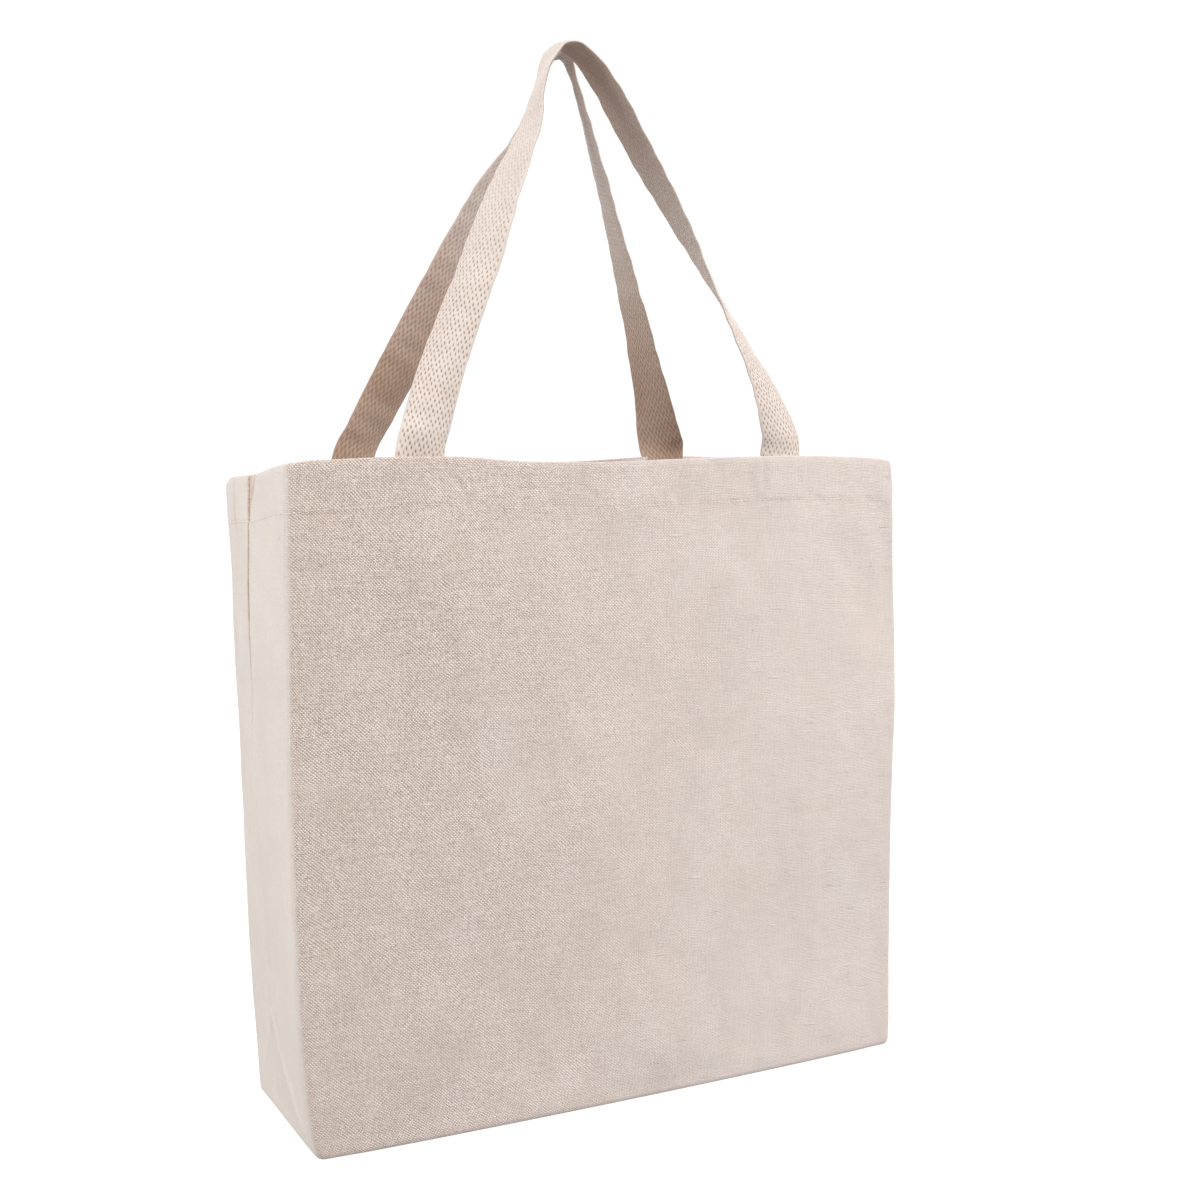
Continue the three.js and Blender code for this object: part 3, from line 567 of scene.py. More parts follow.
class FaceColumns:
    """Columns of the front (side -1) or the back (side +1) with their two upright creases."""

    def __init__(self, side, straight=232, arc=9):
        self.side = side
        self.straight, self.arc = straight, arc
        self.count = straight + 1 + 2 * arc
        self.left = XL_FRONT if side < 0 else XL_BACK

    def at(self, c, z, inset):
        s = self.side
        xl = tab(z, self.left)
        xr = tab(z, X_RIGHT)
        n = self.count
        x = np.zeros(n); y = np.zeros(n); nx = np.zeros(n); ny = np.zeros(n); u = np.zeros(n)
        e = np.maximum(1 - inset / R0, 0.06)
        for end in (0, 1):
            k = np.arange(self.arc)
            a = k / self.arc * math.pi / 2
            cs, sn = np.cos(a), np.sin(a)
            g = (np.abs(cs) ** 3 + np.abs(sn) ** 3) ** (-1 / 3.0)
            ex, ey = cs * g, sn * g
            sel = k if end == 0 else n - 1 - k
            ee = e[sel]
            cx = (xl[sel] + R0) if end == 0 else (xr[sel] - R0)
            sg = -1 if end == 0 else 1
            x[sel] = cx + sg * R0 * ee * ex
            y[sel] = s * (SPLIT + R0 * ee * ey)
            nn = np.hypot(ex ** 2, ey ** 2)
            nx[sel] = sg * ex ** 2 / nn
            ny[sel] = s * ey ** 2 / nn
            arc_u = 11.2 * k / self.arc
            u[sel] = (-183.5 - 11.2 + arc_u) if end == 0 else (183.5 + 11.2 - arc_u)
        m = np.arange(self.arc, n - self.arc)
        q = (m - self.arc) / self.straight
        x[m] = (xl[m] + R0) * (1 - q) + (xr[m] - R0) * q
        y[m] = s * (HALF_D - inset[m])
        ny[m] = s
        u[m] = -183.5 + 367 * q
        bow = face_bow(x, z, s)
        edge = smooth((x - xl) / 30.0) * smooth((xr - x) / 30.0)
        w = np.clip((R0 - inset) / (R0 - RB), 0, 1)
        y = y + s * bow * edge * w
        return x, y, nx, ny, u


class SideColumns:
    """Columns of a gusset, from the front split plane to the back one. They crowd round the seam."""

    def __init__(self, side):
        self.side = side
        front = np.linspace(0, 1, 34)[:-1]                      # from the front split plane to 11 mm before the seam
        near = np.linspace(0, 1, 40)[:-1]                       # 11 mm before the seam to 3 mm behind it
        back = np.linspace(0, 1, 28)
        self.kind = np.concatenate([0 * front, 0 * near + 1, 0 * back + 2])
        self.val = np.concatenate([front, near, back])
        self.count = len(self.kind)

    def at(self, c, z, inset):
        ys = seam_y(z)
        a, b = ys - 11.0, ys + 3.0
        k, v = self.kind, self.val
        y = np.where(k == 0, -SPLIT + (a + SPLIT) * v, np.where(k == 1, a + (b - a) * v, b + (SPLIT - b) * v))
        t = (y + SPLIT) / (2 * SPLIT)
        if self.side < 0:
            x = tab(z, XL_FRONT) * (1 - smooth(t)) + tab(z, XL_BACK) * smooth(t)
            x = x - side_bow(y, z, -1) * smooth((y + SPLIT) / 14.0) * smooth((SPLIT - y) / 14.0) + inset
            nx = np.full(self.count, -1.0)
        else:
            x = tab(z, X_RIGHT) + side_bow(y, z, 1) * smooth((y + SPLIT) / 14.0) * smooth((SPLIT - y) / 14.0) - inset
            nx = np.full(self.count, 1.0)
        ny = np.zeros(self.count)
        # the front half is one cloth with the front, the back half with the back
        w = y + SPLIT
        u = np.where(y < ys, -194.7 - w, -194.7 - (SPLIT - y) + 2000.0) if self.side < 0 else np.where(y < ys, 194.7 + w, 194.7 + (SPLIT - y) + 2000.0)
        return x, y, nx, ny, u


def rim_front(cols, c):
    x = cols.at(c, np.full(cols.count, 366.0), np.zeros(cols.count))[0]
    return tab(x, RIM_FRONT) - 0.9


def rim_back(cols, c):
    x = cols.at(c, np.full(cols.count, 366.0), np.zeros(cols.count))[0]
    return tab(x, RIM_BACK) - 0.9


def rim_left(cols, c):
    y = cols.at(c, np.full(cols.count, 362.0), np.zeros(cols.count))[1]
    return tab(y, RIM_LEFT) - 0.9


def rim_right(cols, c):
    y = cols.at(c, np.full(cols.count, 362.0), np.zeros(cols.count))[1]
    return tab(y, RIM_RIGHT) - 0.9


# heights of the rim at the four split planes, shared by the two walls that meet there
CORNER_Z = {"fl": 366.4, "fr": 365.4, "bl": 357.4, "br": 363.0}


def face_rim(side):
    base = rim_front if side < 0 else rim_back
    lo, hi = (CORNER_Z["fl"], CORNER_Z["fr"]) if side < 0 else (CORNER_Z["bl"], CORNER_Z["br"])

    def f(cols, c):
        z = base(cols, c)
        n = cols.count
        k = cols.arc + 8
        w = np.zeros(n)
        w[:k] = 1 - smooth(np.arange(k) / k)
        z = z * (1 - w) + (lo - 0.9) * w
        w = np.zeros(n)
        w[-k:] = smooth((np.arange(k) + 1) / k)
        return z * (1 - w) + (hi - 0.9) * w
    return f


def side_rim(side):
    base = rim_left if side < 0 else rim_right
    lo, hi = (CORNER_Z["fl"], CORNER_Z["bl"]) if side < 0 else (CORNER_Z["fr"], CORNER_Z["br"])

    def f(cols, c):
        z = base(cols, c)
        y = cols.at(c, np.full(cols.count, 362.0), np.zeros(cols.count))[1]
        t = (y + SPLIT) / (2 * SPLIT)
        return z + ((lo - 0.9) - z[0]) * (1 - smooth(t * 4)) + ((hi - 0.9) - z[-1]) * smooth((t - 0.75) * 4)
    return f


# Painted shade, read by the canvas material from its groove-shade attribute: the side seam's groove, its opening wedge
# above the hem, the inside of that wedge and a crease near the rim are darkened towards brown where shade falls in
# them.
def left_painted_groove_shade(x, y, z, top):
    ys = seam_y(z)
    fade = smooth((z - 215) / 90.0)
    line = np.exp(-(((y - ys) / 1.45) ** 2)) * fade * (0.78 + 0.22 * np.sin(z * 2.6 + 1.3 * np.sin(z * 0.31)))
    wedge = smooth((z - 334) / 4.0)
    yw = 8.0 - 9.6 * np.clip((z - 334) / 27.0, 0, 1.1)
    line = np.maximum(line, 0.8 * np.exp(-(((y - yw) / 0.8) ** 2)) * wedge)
    line = np.maximum(line, 0.2 * np.exp(-(((y - 38.0) / 2.4) ** 2)) * smooth((z - 328) / 8.0))
    return np.maximum(line, 0.26 * wedge * smooth((y - yw) / 0.8) * smooth((ys - y) / 0.8))


# Painted shade along the right gusset's seam groove, weaker low down and gone near the base.
def right_painted_groove_shade(x, y, z, top):
    return np.exp(-(((y - seam_y(z)) / 0.8) ** 2)) * (0.3 + 0.7 * smooth((z - 215) / 90.0)) * smooth((z - 62) / 10)


front_cols, back_cols = FaceColumns(-1), FaceColumns(1, straight=190)
left_cols, right_cols = SideColumns(-1), SideColumns(1)
def blended(face_fn, common_scale=0.8):
    """Face features die out over the upright creases, where only the shared relief of the gusset is left."""
    def f(cols, x, y, z, top):
        n = cols.count
        k = cols.arc
        w = np.ones(n)
        w[:k] = smooth(np.arange(k) / k)
        w[n - k:] = smooth(np.arange(k)[::-1] / k)
        edge = common_relief(x, y, z, top) * common_scale + hem_relief(x, y, z, top)
        return face_fn(x, z, top) * w + edge * (1 - w)
    return f


front_cloth, F_OUT, F_IN, F_UV, F_TOP = wall("front_cloth", front_cols, blended(front_relief), face_rim(-1), "front")
back_cloth, B_OUT, B_IN, B_UV, B_TOP = wall("back_cloth", back_cols, blended(back_relief), face_rim(1), "bag")


def side_fn(fn):
    def f(cols, x, y, z, top):
        w = smooth((SPLIT - np.abs(y)) / 8.0)
        edge = common_relief(x, y, z, top) * 0.8 + hem_relief(x, y, z, top)
        return fn(y, z, top) * w + edge * (1 - w)
    return f


left_cloth, L_OUT, L_IN, L_UV, L_TOP = wall("left_gusset_cloth", left_cols, side_fn(left_relief), side_rim(-1), "bag", painted_groove_shade=left_painted_groove_shade)
right_cloth, R_OUT, R_IN, R_UV, R_TOP = wall("right_gusset_cloth", right_cols, side_fn(right_relief), side_rim(1), "bag", painted_groove_shade=right_painted_groove_shade)

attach(front_cloth, "front")
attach(back_cloth, "bag")


def folds(o):
    """A piece that lies between the split planes is attached to the bag's body and given a mesh of its own."""
    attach(o, "bag")
    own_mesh(o)
    return o


for o in (left_cloth, right_cloth):
    folds(o)


# ---------------------------------------------------------------- the base
def base_sheet():
    nx, ny = 120, 40
    xl = float(tab(0.0, XL_FRONT)) + R0
    x0f, x0b = float(tab(0.0, XL_FRONT)), float(tab(0.0, XL_BACK))
    xr = float(tab(0.0, X_RIGHT)) - R0
    ys = np.linspace(-SPLIT, SPLIT, ny)
    loops = []
    uv = []
    for j in range(ny):
        t = (ys[j] + SPLIT) / (2 * SPLIT)
        x0 = x0f * (1 - float(smooth(t))) + x0b * float(smooth(t)) + R0
        xs = np.linspace(x0, xr, nx)
        mid = np.clip(np.minimum(xs - x0, xr - xs) / 25.0, 0, 1) * min(1.0, (SPLIT - abs(ys[j])) / 18.0)
        lift = 0.55 * smooth(mid) * (1 + 0.6 * SWELL(xs, ys[j] + 0 * xs, 0 * xs)) + 0.12 * CRINKLE(xs, ys[j] + 0 * xs, 0 * xs) * smooth(mid)
        lift = np.maximum(lift, 0)
        lo = np.stack([xs, ys[j] + 0 * xs, lift], -1)
        hi = lo + np.array([0, 0, CLOTH])
        loops.append(np.concatenate([lo, hi[::-1]]))
        a = np.stack([xs, -HALF_D - 380 + ys[j] + 0 * xs, 0 * xs], -1)
        uv.append(np.concatenate([a, a[::-1] + np.array([900.0, 0, 0])]))
    return slab("base_cloth", np.array(loops), {"cloth": np.array(uv), "painted_groove_shade": np.zeros((ny, 2 * nx))})


base_cloth = folds(base_sheet())


# ---------------------------------------------------------------- side seam allowances, inside
def allowance(name, side):
    """The two raw edges of a side seam, laid together against the gusset inside and overcast."""
    grid, ti = (L_IN, L_TOP) if side < 0 else (R_IN, R_TOP)
    zs = np.linspace(6, 336, 150)
    loops, uv = [], []
    edge_pts = []
    for z in zs:
        ys = float(seam_y(z))
        x = float(tab(z, XL_FRONT) * (1 - smooth((ys + SPLIT) / 104)) + tab(z, XL_BACK) * smooth((ys + SPLIT) / 104)) if side < 0 else float(tab(z, X_RIGHT))
        x = x - side * 0 + (side_bow(ys, z, side) * side) + (-side) * (CLOTH + 0.9)
        lift = 1.6 + 1.5 * float(EDGE(0.0, 0.0, z)) * 0.5
        pts = []
        m = 7
        for k in range(m):
            q = k / (m - 1)
            y = ys - 10.5 * q
            stand = (0.3 + max(lift, 0.2) * q ** 1.6)
            pts.append((x - side * stand, y, z))
        a = np.array(pts)
        b = a.copy()
        b[:, 0] -= side * 1.7
        loops.append(np.concatenate([a, b[::-1]]))
        w = np.stack([np.linspace(0, 10.5, m) + 400, np.full(m, z), np.zeros(m)], -1)
        uv.append(np.concatenate([w, w[::-1] + np.array([60.0, 0, 0])]))
        edge_pts.append((a[-1] + b[-1]) / 2)
    o = slab(name, np.array(loops), {"cloth": np.array(uv), "painted_groove_shade": np.zeros((len(zs), 14))})
    return o, np.array(edge_pts)


def tube(points, radius, sides=6):
    """Vertices and quads of a closed round tube along points, with its ends drawn in."""
    p = np.asarray(points, float)
    n = len(p)
    t = np.gradient(p, axis=0)
    t /= np.linalg.norm(t, axis=1)[:, None]
    ref = np.array([0.31, 0.17, 0.93])
    a = np.cross(t, ref)
    a /= np.linalg.norm(a, axis=1)[:, None]
    b = np.cross(t, a)
    ang = np.arange(sides) / sides * 2 * math.pi
    r = np.full(n, radius)
    r[0] = r[-1] = radius * 0.35
    v = p[:, None] + r[:, None, None] * (np.cos(ang)[None, :, None] * a[:, None] + np.sin(ang)[None, :, None] * b[:, None])
    idx = np.arange(n * sides).reshape(n, sides)
    nxt = np.roll(idx, -1, 1)
    f = np.stack([idx[:-1], idx[1:], nxt[1:], nxt[:-1]], -1).reshape(-1, 4)
    caps = []
    for row, flip in ((idx[0], True), (idx[-1], False)):
        for k in range(0, sides - 2, 2):
            q = [row[0], row[k + 1], row[k + 2], row[(k + 3) % sides]] if k + 3 < sides else None
            if q is None:
                continue
            caps.append(q if not flip else q[::-1])
    if sides == 6:
        caps = []
        for row, flip in ((idx[0], False), (idx[-1], True)):
            q1, q2 = [row[0], row[1], row[2], row[3]], [row[0], row[3], row[4], row[5]]
            caps += [q1[::-1], q2[::-1]] if flip else [q1, q2]
    f = np.concatenate([f, np.array(caps)])
    return v.reshape(-1, 3), f


def tubes(name, lines, radius):
    vs, fs, at, off = [], [], [], 0
    for k, line in enumerate(lines):
        v, f = tube(line, radius)
        f = outward(v, f)
        vs.append(v)
        fs.append(f + off)
        m = len(line)
        at.append(np.stack([np.repeat(np.arange(m), 6) * 1.0, np.tile(np.arange(6), m) * 1.0, np.full(6 * m, k * 1.7)], -1))
        off += len(v)
    o = mesh_object(name, np.concatenate(vs), np.concatenate(fs), 0)
    attribute(o, "thread", np.concatenate(at))
    return o


def stitches(path, normals, pitch=3.1, gap=0.55, radius=0.24, proud=0.12, start=0.0):
    """Short bowed stitches that dive into the cloth at both ends."""
    p = np.asarray(path, float)
    d = np.r_[0, np.cumsum(np.linalg.norm(np.diff(p, axis=0), axis=1))]
    lines = []
    s = start + 0.4
    r = np.random.default_rng(int(abs(p[0].sum()) * 10) % 100000)
    while s + pitch - gap < d[-1]:
        jit = r.uniform(-0.12, 0.12)
        q = np.linspace(s, s + pitch - gap + jit, 6)
        pts = np.stack([np.interp(q, d, p[:, k]) for k in range(3)], -1)
        nn = np.stack([np.interp(q, d, normals[:, k]) for k in range(3)], -1)
        bow = np.sin(np.linspace(0, math.pi, 6))
        pts = pts + nn * (proud + radius * 0.2 - 0.42 * (1 - bow))[:, None]
        lines.append(pts)
        s += pitch
    return lines


def row_path(grid, top, h, inside=False):
    """The line on a wall's outer grid that lies h below its rim, with the outward direction there."""
    r0 = len(ROWS) - len(TOP_ROWS)
    hs = TOP_ROWS[::-1]
    k = int(np.clip(np.searchsorted(-hs, -h), 1, len(hs) - 1))
    t = (hs[k - 1] - h) / (hs[k - 1] - hs[k])
    p = grid[:, r0 + k - 1] * (1 - t) + grid[:, r0 + k] * t
    tan = np.gradient(p, axis=0)
    n = np.cross(tan, np.array([0, 0, 1.0]))
    n /= np.linalg.norm(n, axis=1)[:, None]
    return p, n


def at_grid(grid, x, h, top, axis=0):
    """A point of a wall's grid at x (or y) and h below the rim."""
    p, n = row_path(grid, top, h)
    order = np.argsort(p[:, axis])
    q = np.array([np.interp(x, p[order, axis], p[order, k]) for k in range(3)])
    return q


thread_pieces = {}
for key, grid, top, body, fold in (("front", F_OUT, F_TOP, "front", False), ("back", B_OUT, B_TOP, "bag", False),
                                   ("left", L_OUT, L_TOP, None, True), ("right", R_OUT, R_TOP, None, True)):
    inner = {"front": F_IN, "back": B_IN, "left": L_IN, "right": R_IN}[key]
    p, n = row_path(grid, top, STITCH_H)
    sign = 1.0
    centre = np.array([0, 0, p[:, 2].mean()])
    mid = len(p) // 2
    if np.dot(n[mid], p[mid] - centre) < 0:
        n = -n
    lines = stitches(p, n)
    pi, ni = row_path(inner, top, STITCH_H)
    if np.dot(ni[mid], pi[mid] - centre) > 0:
        ni = -ni
    lines += stitches(pi, ni, start=1.5)
    o = tubes(f"{key}_hem_stitches", lines, 0.24)
    if fold:
        folds(o)
    else:
        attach(o, body)
    thread_pieces[key] = o

box_pieces = {}
for side, grid, inner, top, body in (("front", F_OUT, F_IN, F_TOP, "front"), ("back", B_OUT, B_IN, B_TOP, "bag")):
    sg = -1 if side == "front" else 1
    for cx, end in zip(FEET[side], ("left", "right")):
        w = STRAP_W / 2 - 3.0
        # the frame that holds the handle's end: down one side, along the bottom, up the other, and across the top
        corners = [(cx - w, 5.0), (cx - w, 21.0), (cx + w, 21.0), (cx + w, 5.0), (cx - w, 5.0)]
        lines = []
        for g, sgn, rad in ((grid, sg, 0.2), (inner, -sg, 0.24)):
            for (xa, ha), (xb, hb) in zip(corners[:-1], corners[1:]):
                m = 14
                pts = np.array([at_grid(g, xa + (xb - xa) * k / (m - 1), ha + (hb - ha) * k / (m - 1), top) for k in range(m)])
                if g is inner:
                    pts[:, 1] -= sg * (STRAP_T + 0.45)
                nn = np.tile(np.array([0.0, sgn, 0.0]), (m, 1))
                lines += stitches(pts, nn, pitch=2.9, proud=0.02 if g is grid else 0.2)
        o = tubes(f"{side}_handle_stitches_{end}", lines, 0.22)
        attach(o, body)
        box_pieces[(side, end)] = o

allow, over = {}, {}
for key, side in (("left", -1), ("right", 1)):
    o, edge = allowance(f"{key}_seam_allowance_cloth", side)
    folds(o)
    allow[key] = o
    # overcast thread: a slanting wrap round the raw edges
    turns = 92
    s = np.linspace(0, 1, turns * 10)
    z = edge[0, 2] + (edge[-1, 2] - edge[0, 2]) * s
    ex = np.interp(z, edge[:, 2], edge[:, 0])
    ey = np.interp(z, edge[:, 2], edge[:, 1])
    ph = s * turns * 2 * math.pi
    yy = ey + 1.9 + 2.3 * np.cos(ph)
    xx = ex + 1.15 * np.sin(ph)
    o = tubes(f"{key}_seam_overcast_thread", [np.stack([xx, yy, z], -1)], 0.26)
    folds(o)
    over[key] = o


# ---------------------------------------------------------------- the handles
def spline(points, n_out, smooth_len):
    """Evenly spaced points on a smooth line through points."""
    p = np.asarray(points, float)
    d = np.r_[0, np.cumsum(np.linalg.norm(np.diff(p[:, :3], axis=0), axis=1))]
    fine = np.linspace(0, d[-1], 4000)
    m = np.gradient(p, d, axis=0)
    i = np.clip(np.searchsorted(d, fine) - 1, 0, len(d) - 2)
    h = (d[i + 1] - d[i])[:, None]
    t = ((fine - d[i]) / (d[i + 1] - d[i]))[:, None]
    q = (1 + 2 * t) * (1 - t) ** 2 * p[i] + t * (1 - t) ** 2 * h * m[i] + t * t * (3 - 2 * t) * p[i + 1] + t * t * (t - 1) * h * m[i + 1]
    w = max(3, int(smooth_len / (d[-1] / 4000)) | 1)
    ker = np.hanning(w + 2)[1:-1]
    ker /= ker.sum()
    pad = w // 2
    ends = np.concatenate([2 * q[:1] - q[pad:0:-1], q, 2 * q[-1:] - q[-2:-pad - 2:-1]])
    q = np.stack([np.convolve(ends[:, k], ker, "valid") for k in range(q.shape[1])], -1)
    d = np.r_[0, np.cumsum(np.linalg.norm(np.diff(q[:, :3], axis=0), axis=1))]
    s = np.linspace(0, d[-1], n_out)
    return np.stack([np.interp(s, d, q[:, k]) for k in range(q.shape[1])], -1), s


def handle_line(table, side, feet):
    """Control rows from the sewn-in end of the left leg to that of the right."""
    table = table.copy()
    m = len(table)
    away = np.abs(np.arange(m) - (m - 1) / 2.0)
    ease = (smooth((away - 3.5) / 3.0) * smooth((23.5 - away) / 2.0))[:, None]
    for _ in range(7):
        soft = table.copy()
        soft[1:-1] = 0.25 * table[:-2] + 0.5 * table[1:-1] + 0.25 * table[2:]
        table = table * (1 - ease) + soft * ease
    if side < 0:
        # the left leg turns almost edge-on just below the arch
        turned = {19: (-0.03, -0.99, 0.14), 20: (-0.12, -0.985, 0.13), 21: (-0.16, -0.98, 0.12), 22: (-0.10, -0.99, 0.05)}
        for i, w in turned.items():
            table[i, 3:6] = np.array(w) / np.linalg.norm(w)
    # and the arch stands closer over that side
    push = {15: 1.5, 16: 3.0, 17: 4.6, 18: 5.6, 19: 5.8, 20: 5.6, 21: 5.4, 22: 4.6, 23: 2.5, 25: -1.2, 26: -0.8}
    if side > 0:
        push = {17: 1.5, 18: 3.0, 19: 4.2, 20: 4.5, 21: 4.5, 22: 3.5, 23: 2.0}
    for i, d in push.items():
        table[i, 0] += d
    rise = smooth((table[:, 2] - 450.0) / 150.0)
    table[:, 2] += 5.0 * rise
    table[:, 0] -= 3.6 * rise
    yt = side * TAIL_Y
    rows = []
    n = len(table)
    out = table.copy()
    for i in range(n):
        k = min(i, n - 1 - i)
        f = max(0.0, 1 - k / 4.0)
        out[i, 1] = out[i, 1] + (yt - out[i, 1]) * f * f
    first, last = out[0], out[-1]

    def tail(row, nxt, dz):
        t = (nxt[:3] - row[:3])
        slope = t[0] / t[2] * 0.45
        r = row.copy()
        r[0] = row[0] - slope * dz
        r[1] = yt
        r[2] = row[2] - dz
        return r
    rows = [tail(first, out[1], 25.0), tail(first, out[1], 12.0)] + list(out) + [tail(last, out[-2], 12.0), tail(last, out[-2], 25.0)]
    rows = np.array(rows)
    for i, dirx in ((0, 1), (1, 1), (-1, -1), (-2, -1)):
        nb = rows[2] if i >= 0 else rows[-3]
        w = nb[3:6] * np.array([1, 0.0, 0.6])
        rows[i, 3:6] = w / np.linalg.norm(w)
    # the width direction turns to lie along the cloth where the leg enters the hem
    for i in (2, -3):
        w = rows[i, 3:6] * np.array([1, 0.3, 0.8])
        rows[i, 3:6] = w / np.linalg.norm(w)
    return rows


RIBS = 21
RIB = (STRAP_W - 2.6) / RIBS
GRAIN = 5.6
ACROSS = 3                      # points over one rib


def strap_mesh(name, table, side, cut0, cut1, rows_per_mm=1.45, line=None):
    """Webbing between the lengths cut0 and cut1 of its line: two woven faces of ribs made of rice-like grains."""
    full, s = line
    n = max(6, int(round((cut1 - cut0) * rows_per_mm)))
    q = np.linspace(cut0, cut1, n)
    P = np.stack([np.interp(q, s, full[:, k]) for k in range(3)], -1)
    W = np.stack([np.interp(q, s, full[:, 3 + k]) for k in range(3)], -1)
    chord = np.interp(q, s, full[:, 6])
    T = np.stack([np.interp(q, s, np.gradient(full[:, k], s)) for k in range(3)], -1)
    T /= np.linalg.norm(T, axis=1)[:, None]
    W = W - (W * T).sum(1)[:, None] * T
    W /= np.linalg.norm(W, axis=1)[:, None]
    N = np.cross(W, T)
    # cupping: the arc's length stays, its chord shortens
    width = np.minimum(STRAP_W, chord + 1.6)
    ratio = np.clip(chord / width, 0.9, 1.0)
    phi = np.sqrt(np.maximum(6 * (1 - ratio), 0)) * 1.02
    cells = RIBS * ACROSS
    a = np.linspace(-0.5, 0.5, cells + 1)
    ac = a * (STRAP_W - 2.6)
    acc = np.concatenate([[-STRAP_W / 2, -STRAP_W / 2 + 0.5, -STRAP_W / 2 + 1.0], ac, [STRAP_W / 2 - 1.0, STRAP_W / 2 - 0.5, STRAP_W / 2]])
    m = len(acc)

    def relief(qv, flip):
        col = (acc + (STRAP_W - 2.6) / 2) / RIB
        # grains lie side by side half a length apart, with a pit wherever two of one rib meet
        rib = np.cos(math.pi * (col - 0.5))
        b = qv[:, None] / GRAIN + 0.5 * flip + 0.10 * np.sin(col[None, :] * 1.7 + qv[:, None] / 23.0)
        grain = np.clip(0.5 + 0.5 * rib[None, :] * np.cos(2 * math.pi * b), 0, 1) ** 0.6
        selv = (np.abs(acc) > (STRAP_W - 2.6) / 2 + 1e-6)
        grain = np.where(selv[None, :], 0.62 + 0.12 * np.sin(qv[:, None] / GRAIN * 8 * math.pi), grain)
        return grain
    r_out, r_in = relief(q, 0), relief(q, 1)
    edge = np.sqrt(np.clip(1 - (np.abs(acc) / (STRAP_W / 2)) ** 10, 0, 1))
    half = (STRAP_T / 2 - 0.25) * (0.25 + 0.75 * edge)[None, :]
    ho = half + 0.42 * r_out * (0.2 + 0.8 * edge)[None, :]
    hi = half + 0.42 * r_in * (0.2 + 0.8 * edge)[None, :]
    # position across the cupped section
    sc = width / STRAP_W
    ang = (2 * acc / STRAP_W)[None, :] * phi[:, None]
    R = np.where(phi > 1e-4, (width / 2) / np.maximum(phi, 1e-4), 0)
    flat = acc[None, :] * sc[:, None]
    xa = np.where(phi[:, None] > 1e-3, R[:, None] * np.sin(ang), flat)
    dz = np.where(phi[:, None] > 1e-3, -R[:, None] * (1 - np.cos(ang)), 0) + np.where(phi > 1e-3, R * (1 - np.cos(phi)) * 0.4, 0)[:, None]
    wob = 0.25 * EDGE(acc[None, :] * 0 + q[:, None], 7.0 * side + 0 * acc[None, :], 0.4 * acc[None, :])
    base = P[:, None] + W[:, None] * xa[..., None] + N[:, None] * (dz + wob)[..., None]
    Nl = N[:, None] * np.cos(ang)[..., None] + W[:, None] * np.sin(ang)[..., None]
    O = base + Nl * ho[..., None]
    I = base - Nl * hi[..., None]
    loops = np.concatenate([O, I[:, ::-1]], axis=1)
    uv_o = np.stack([np.broadcast_to(acc[None, :], (n, m)), np.broadcast_to(q[:, None], (n, m)), np.zeros((n, m))], -1)
    uv_i = uv_o[:, ::-1].copy()
    # the face that lies towards the other handle is marked by an offset, which the webbing material reads to paint
    # shade on that face
    (uv_i if side < 0 else uv_o)[..., 0] += 100.0 if side < 0 else 200.0
    rel = np.concatenate([r_out, r_in[:, ::-1]], axis=1)
    o = slab(name, loops, {"strap": np.concatenate([uv_o, uv_i], axis=1), "relief": rel})
    return o


handles = {}
for side, table, body, foot, loop in (("front", FRONT_HANDLE, "front", "front_foot", "front_loop"),
                                      ("back", BACK_HANDLE, "bag", "back_foot", "back_loop")):
    sg = -1 if side == "front" else 1
    rows = handle_line(table, sg, FEET[side])
    full, s = spline(rows, 1600, 9.0)
    # the lengths at which the legs cross the cutting heights
    z = full[:, 2]
    halfway = int(np.argmax(z))

    def cross(level, which):
        if which == 0:
            i = int(np.argmax(z[:halfway] > level))
        else:
            i = len(z) - 1 - int(np.argmax(z[::-1][:len(z) - halfway] > level))
            i = i
        j = i - 1 if which == 0 else i + 1
        t = (level - z[j]) / (z[i] - z[j])
        return s[j] + (s[i] - s[j]) * t
    L = s[-1]
    cuts0 = [0.0, cross(366.0, 0), cross(374.5, 0)]
    cuts1 = [L, cross(366.0, 1), cross(374.5, 1)]
    line = (full, s)
    for k, end in ((0, "left"), (1, "right")):
        a, b, c = cuts0 if k == 0 else cuts1
        t = strap_mesh(f"{side}_handle_end_{end}", table, sg, min(a, b), max(a, b), line=line)
        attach(t, body)
        f = strap_mesh(f"{side}_handle_rise_{end}", table, sg, min(b, c), max(b, c), line=line)
        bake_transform(f)
        handles[(side, "end", end)] = t
        handles[(side, "rise", end)] = f
    lp = strap_mesh(f"{side}_handle_loop", table, sg, cuts0[2], cuts1[2], line=line)
    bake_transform(lp)
    handles[(side, "loop", "")] = lp
    handles[(side, "length", "")] = L


# ---------------------------------------------------------------- the CAD parts that each piece replaces are hidden
def stands_for(o, slot, *nodes):
    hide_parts(*nodes)


stands_for(front_cloth, "canvas", "front_panel", "front_hem")
stands_for(back_cloth, "canvas", "back_panel", "back_hem")
stands_for(left_cloth, "canvas", "left_gusset_front", "left_gusset_back", "left_gusset_hem")
stands_for(right_cloth, "canvas", "right_gusset_front", "right_gusset_back", "right_gusset_hem")
stands_for(base_cloth, "canvas", "bottom_panel")
for key in ("left", "right"):
    stands_for(allow[key], "canvas", f"{key}_seam_allowance")
    stands_for(over[key], "thread", f"{key}_seam_overcast")
for key, o in thread_pieces.items():
    stands_for(o, "thread", f"{key}_hem_thread")
for (side, end), o in box_pieces.items():
    stands_for(o, "thread", f"{side}_handle_stitch_{end}")
for side in ("front", "back"):
    for end in ("left", "right"):
        stands_for(handles[(side, "end", end)], "webbing", f"{side}_handle_tail_{end}")
        stands_for(handles[(side, "rise", end)], "webbing", f"{side}_handle_foot_{end}")
    stands_for(handles[(side, "loop", "")], "webbing", f"{side}_handle")


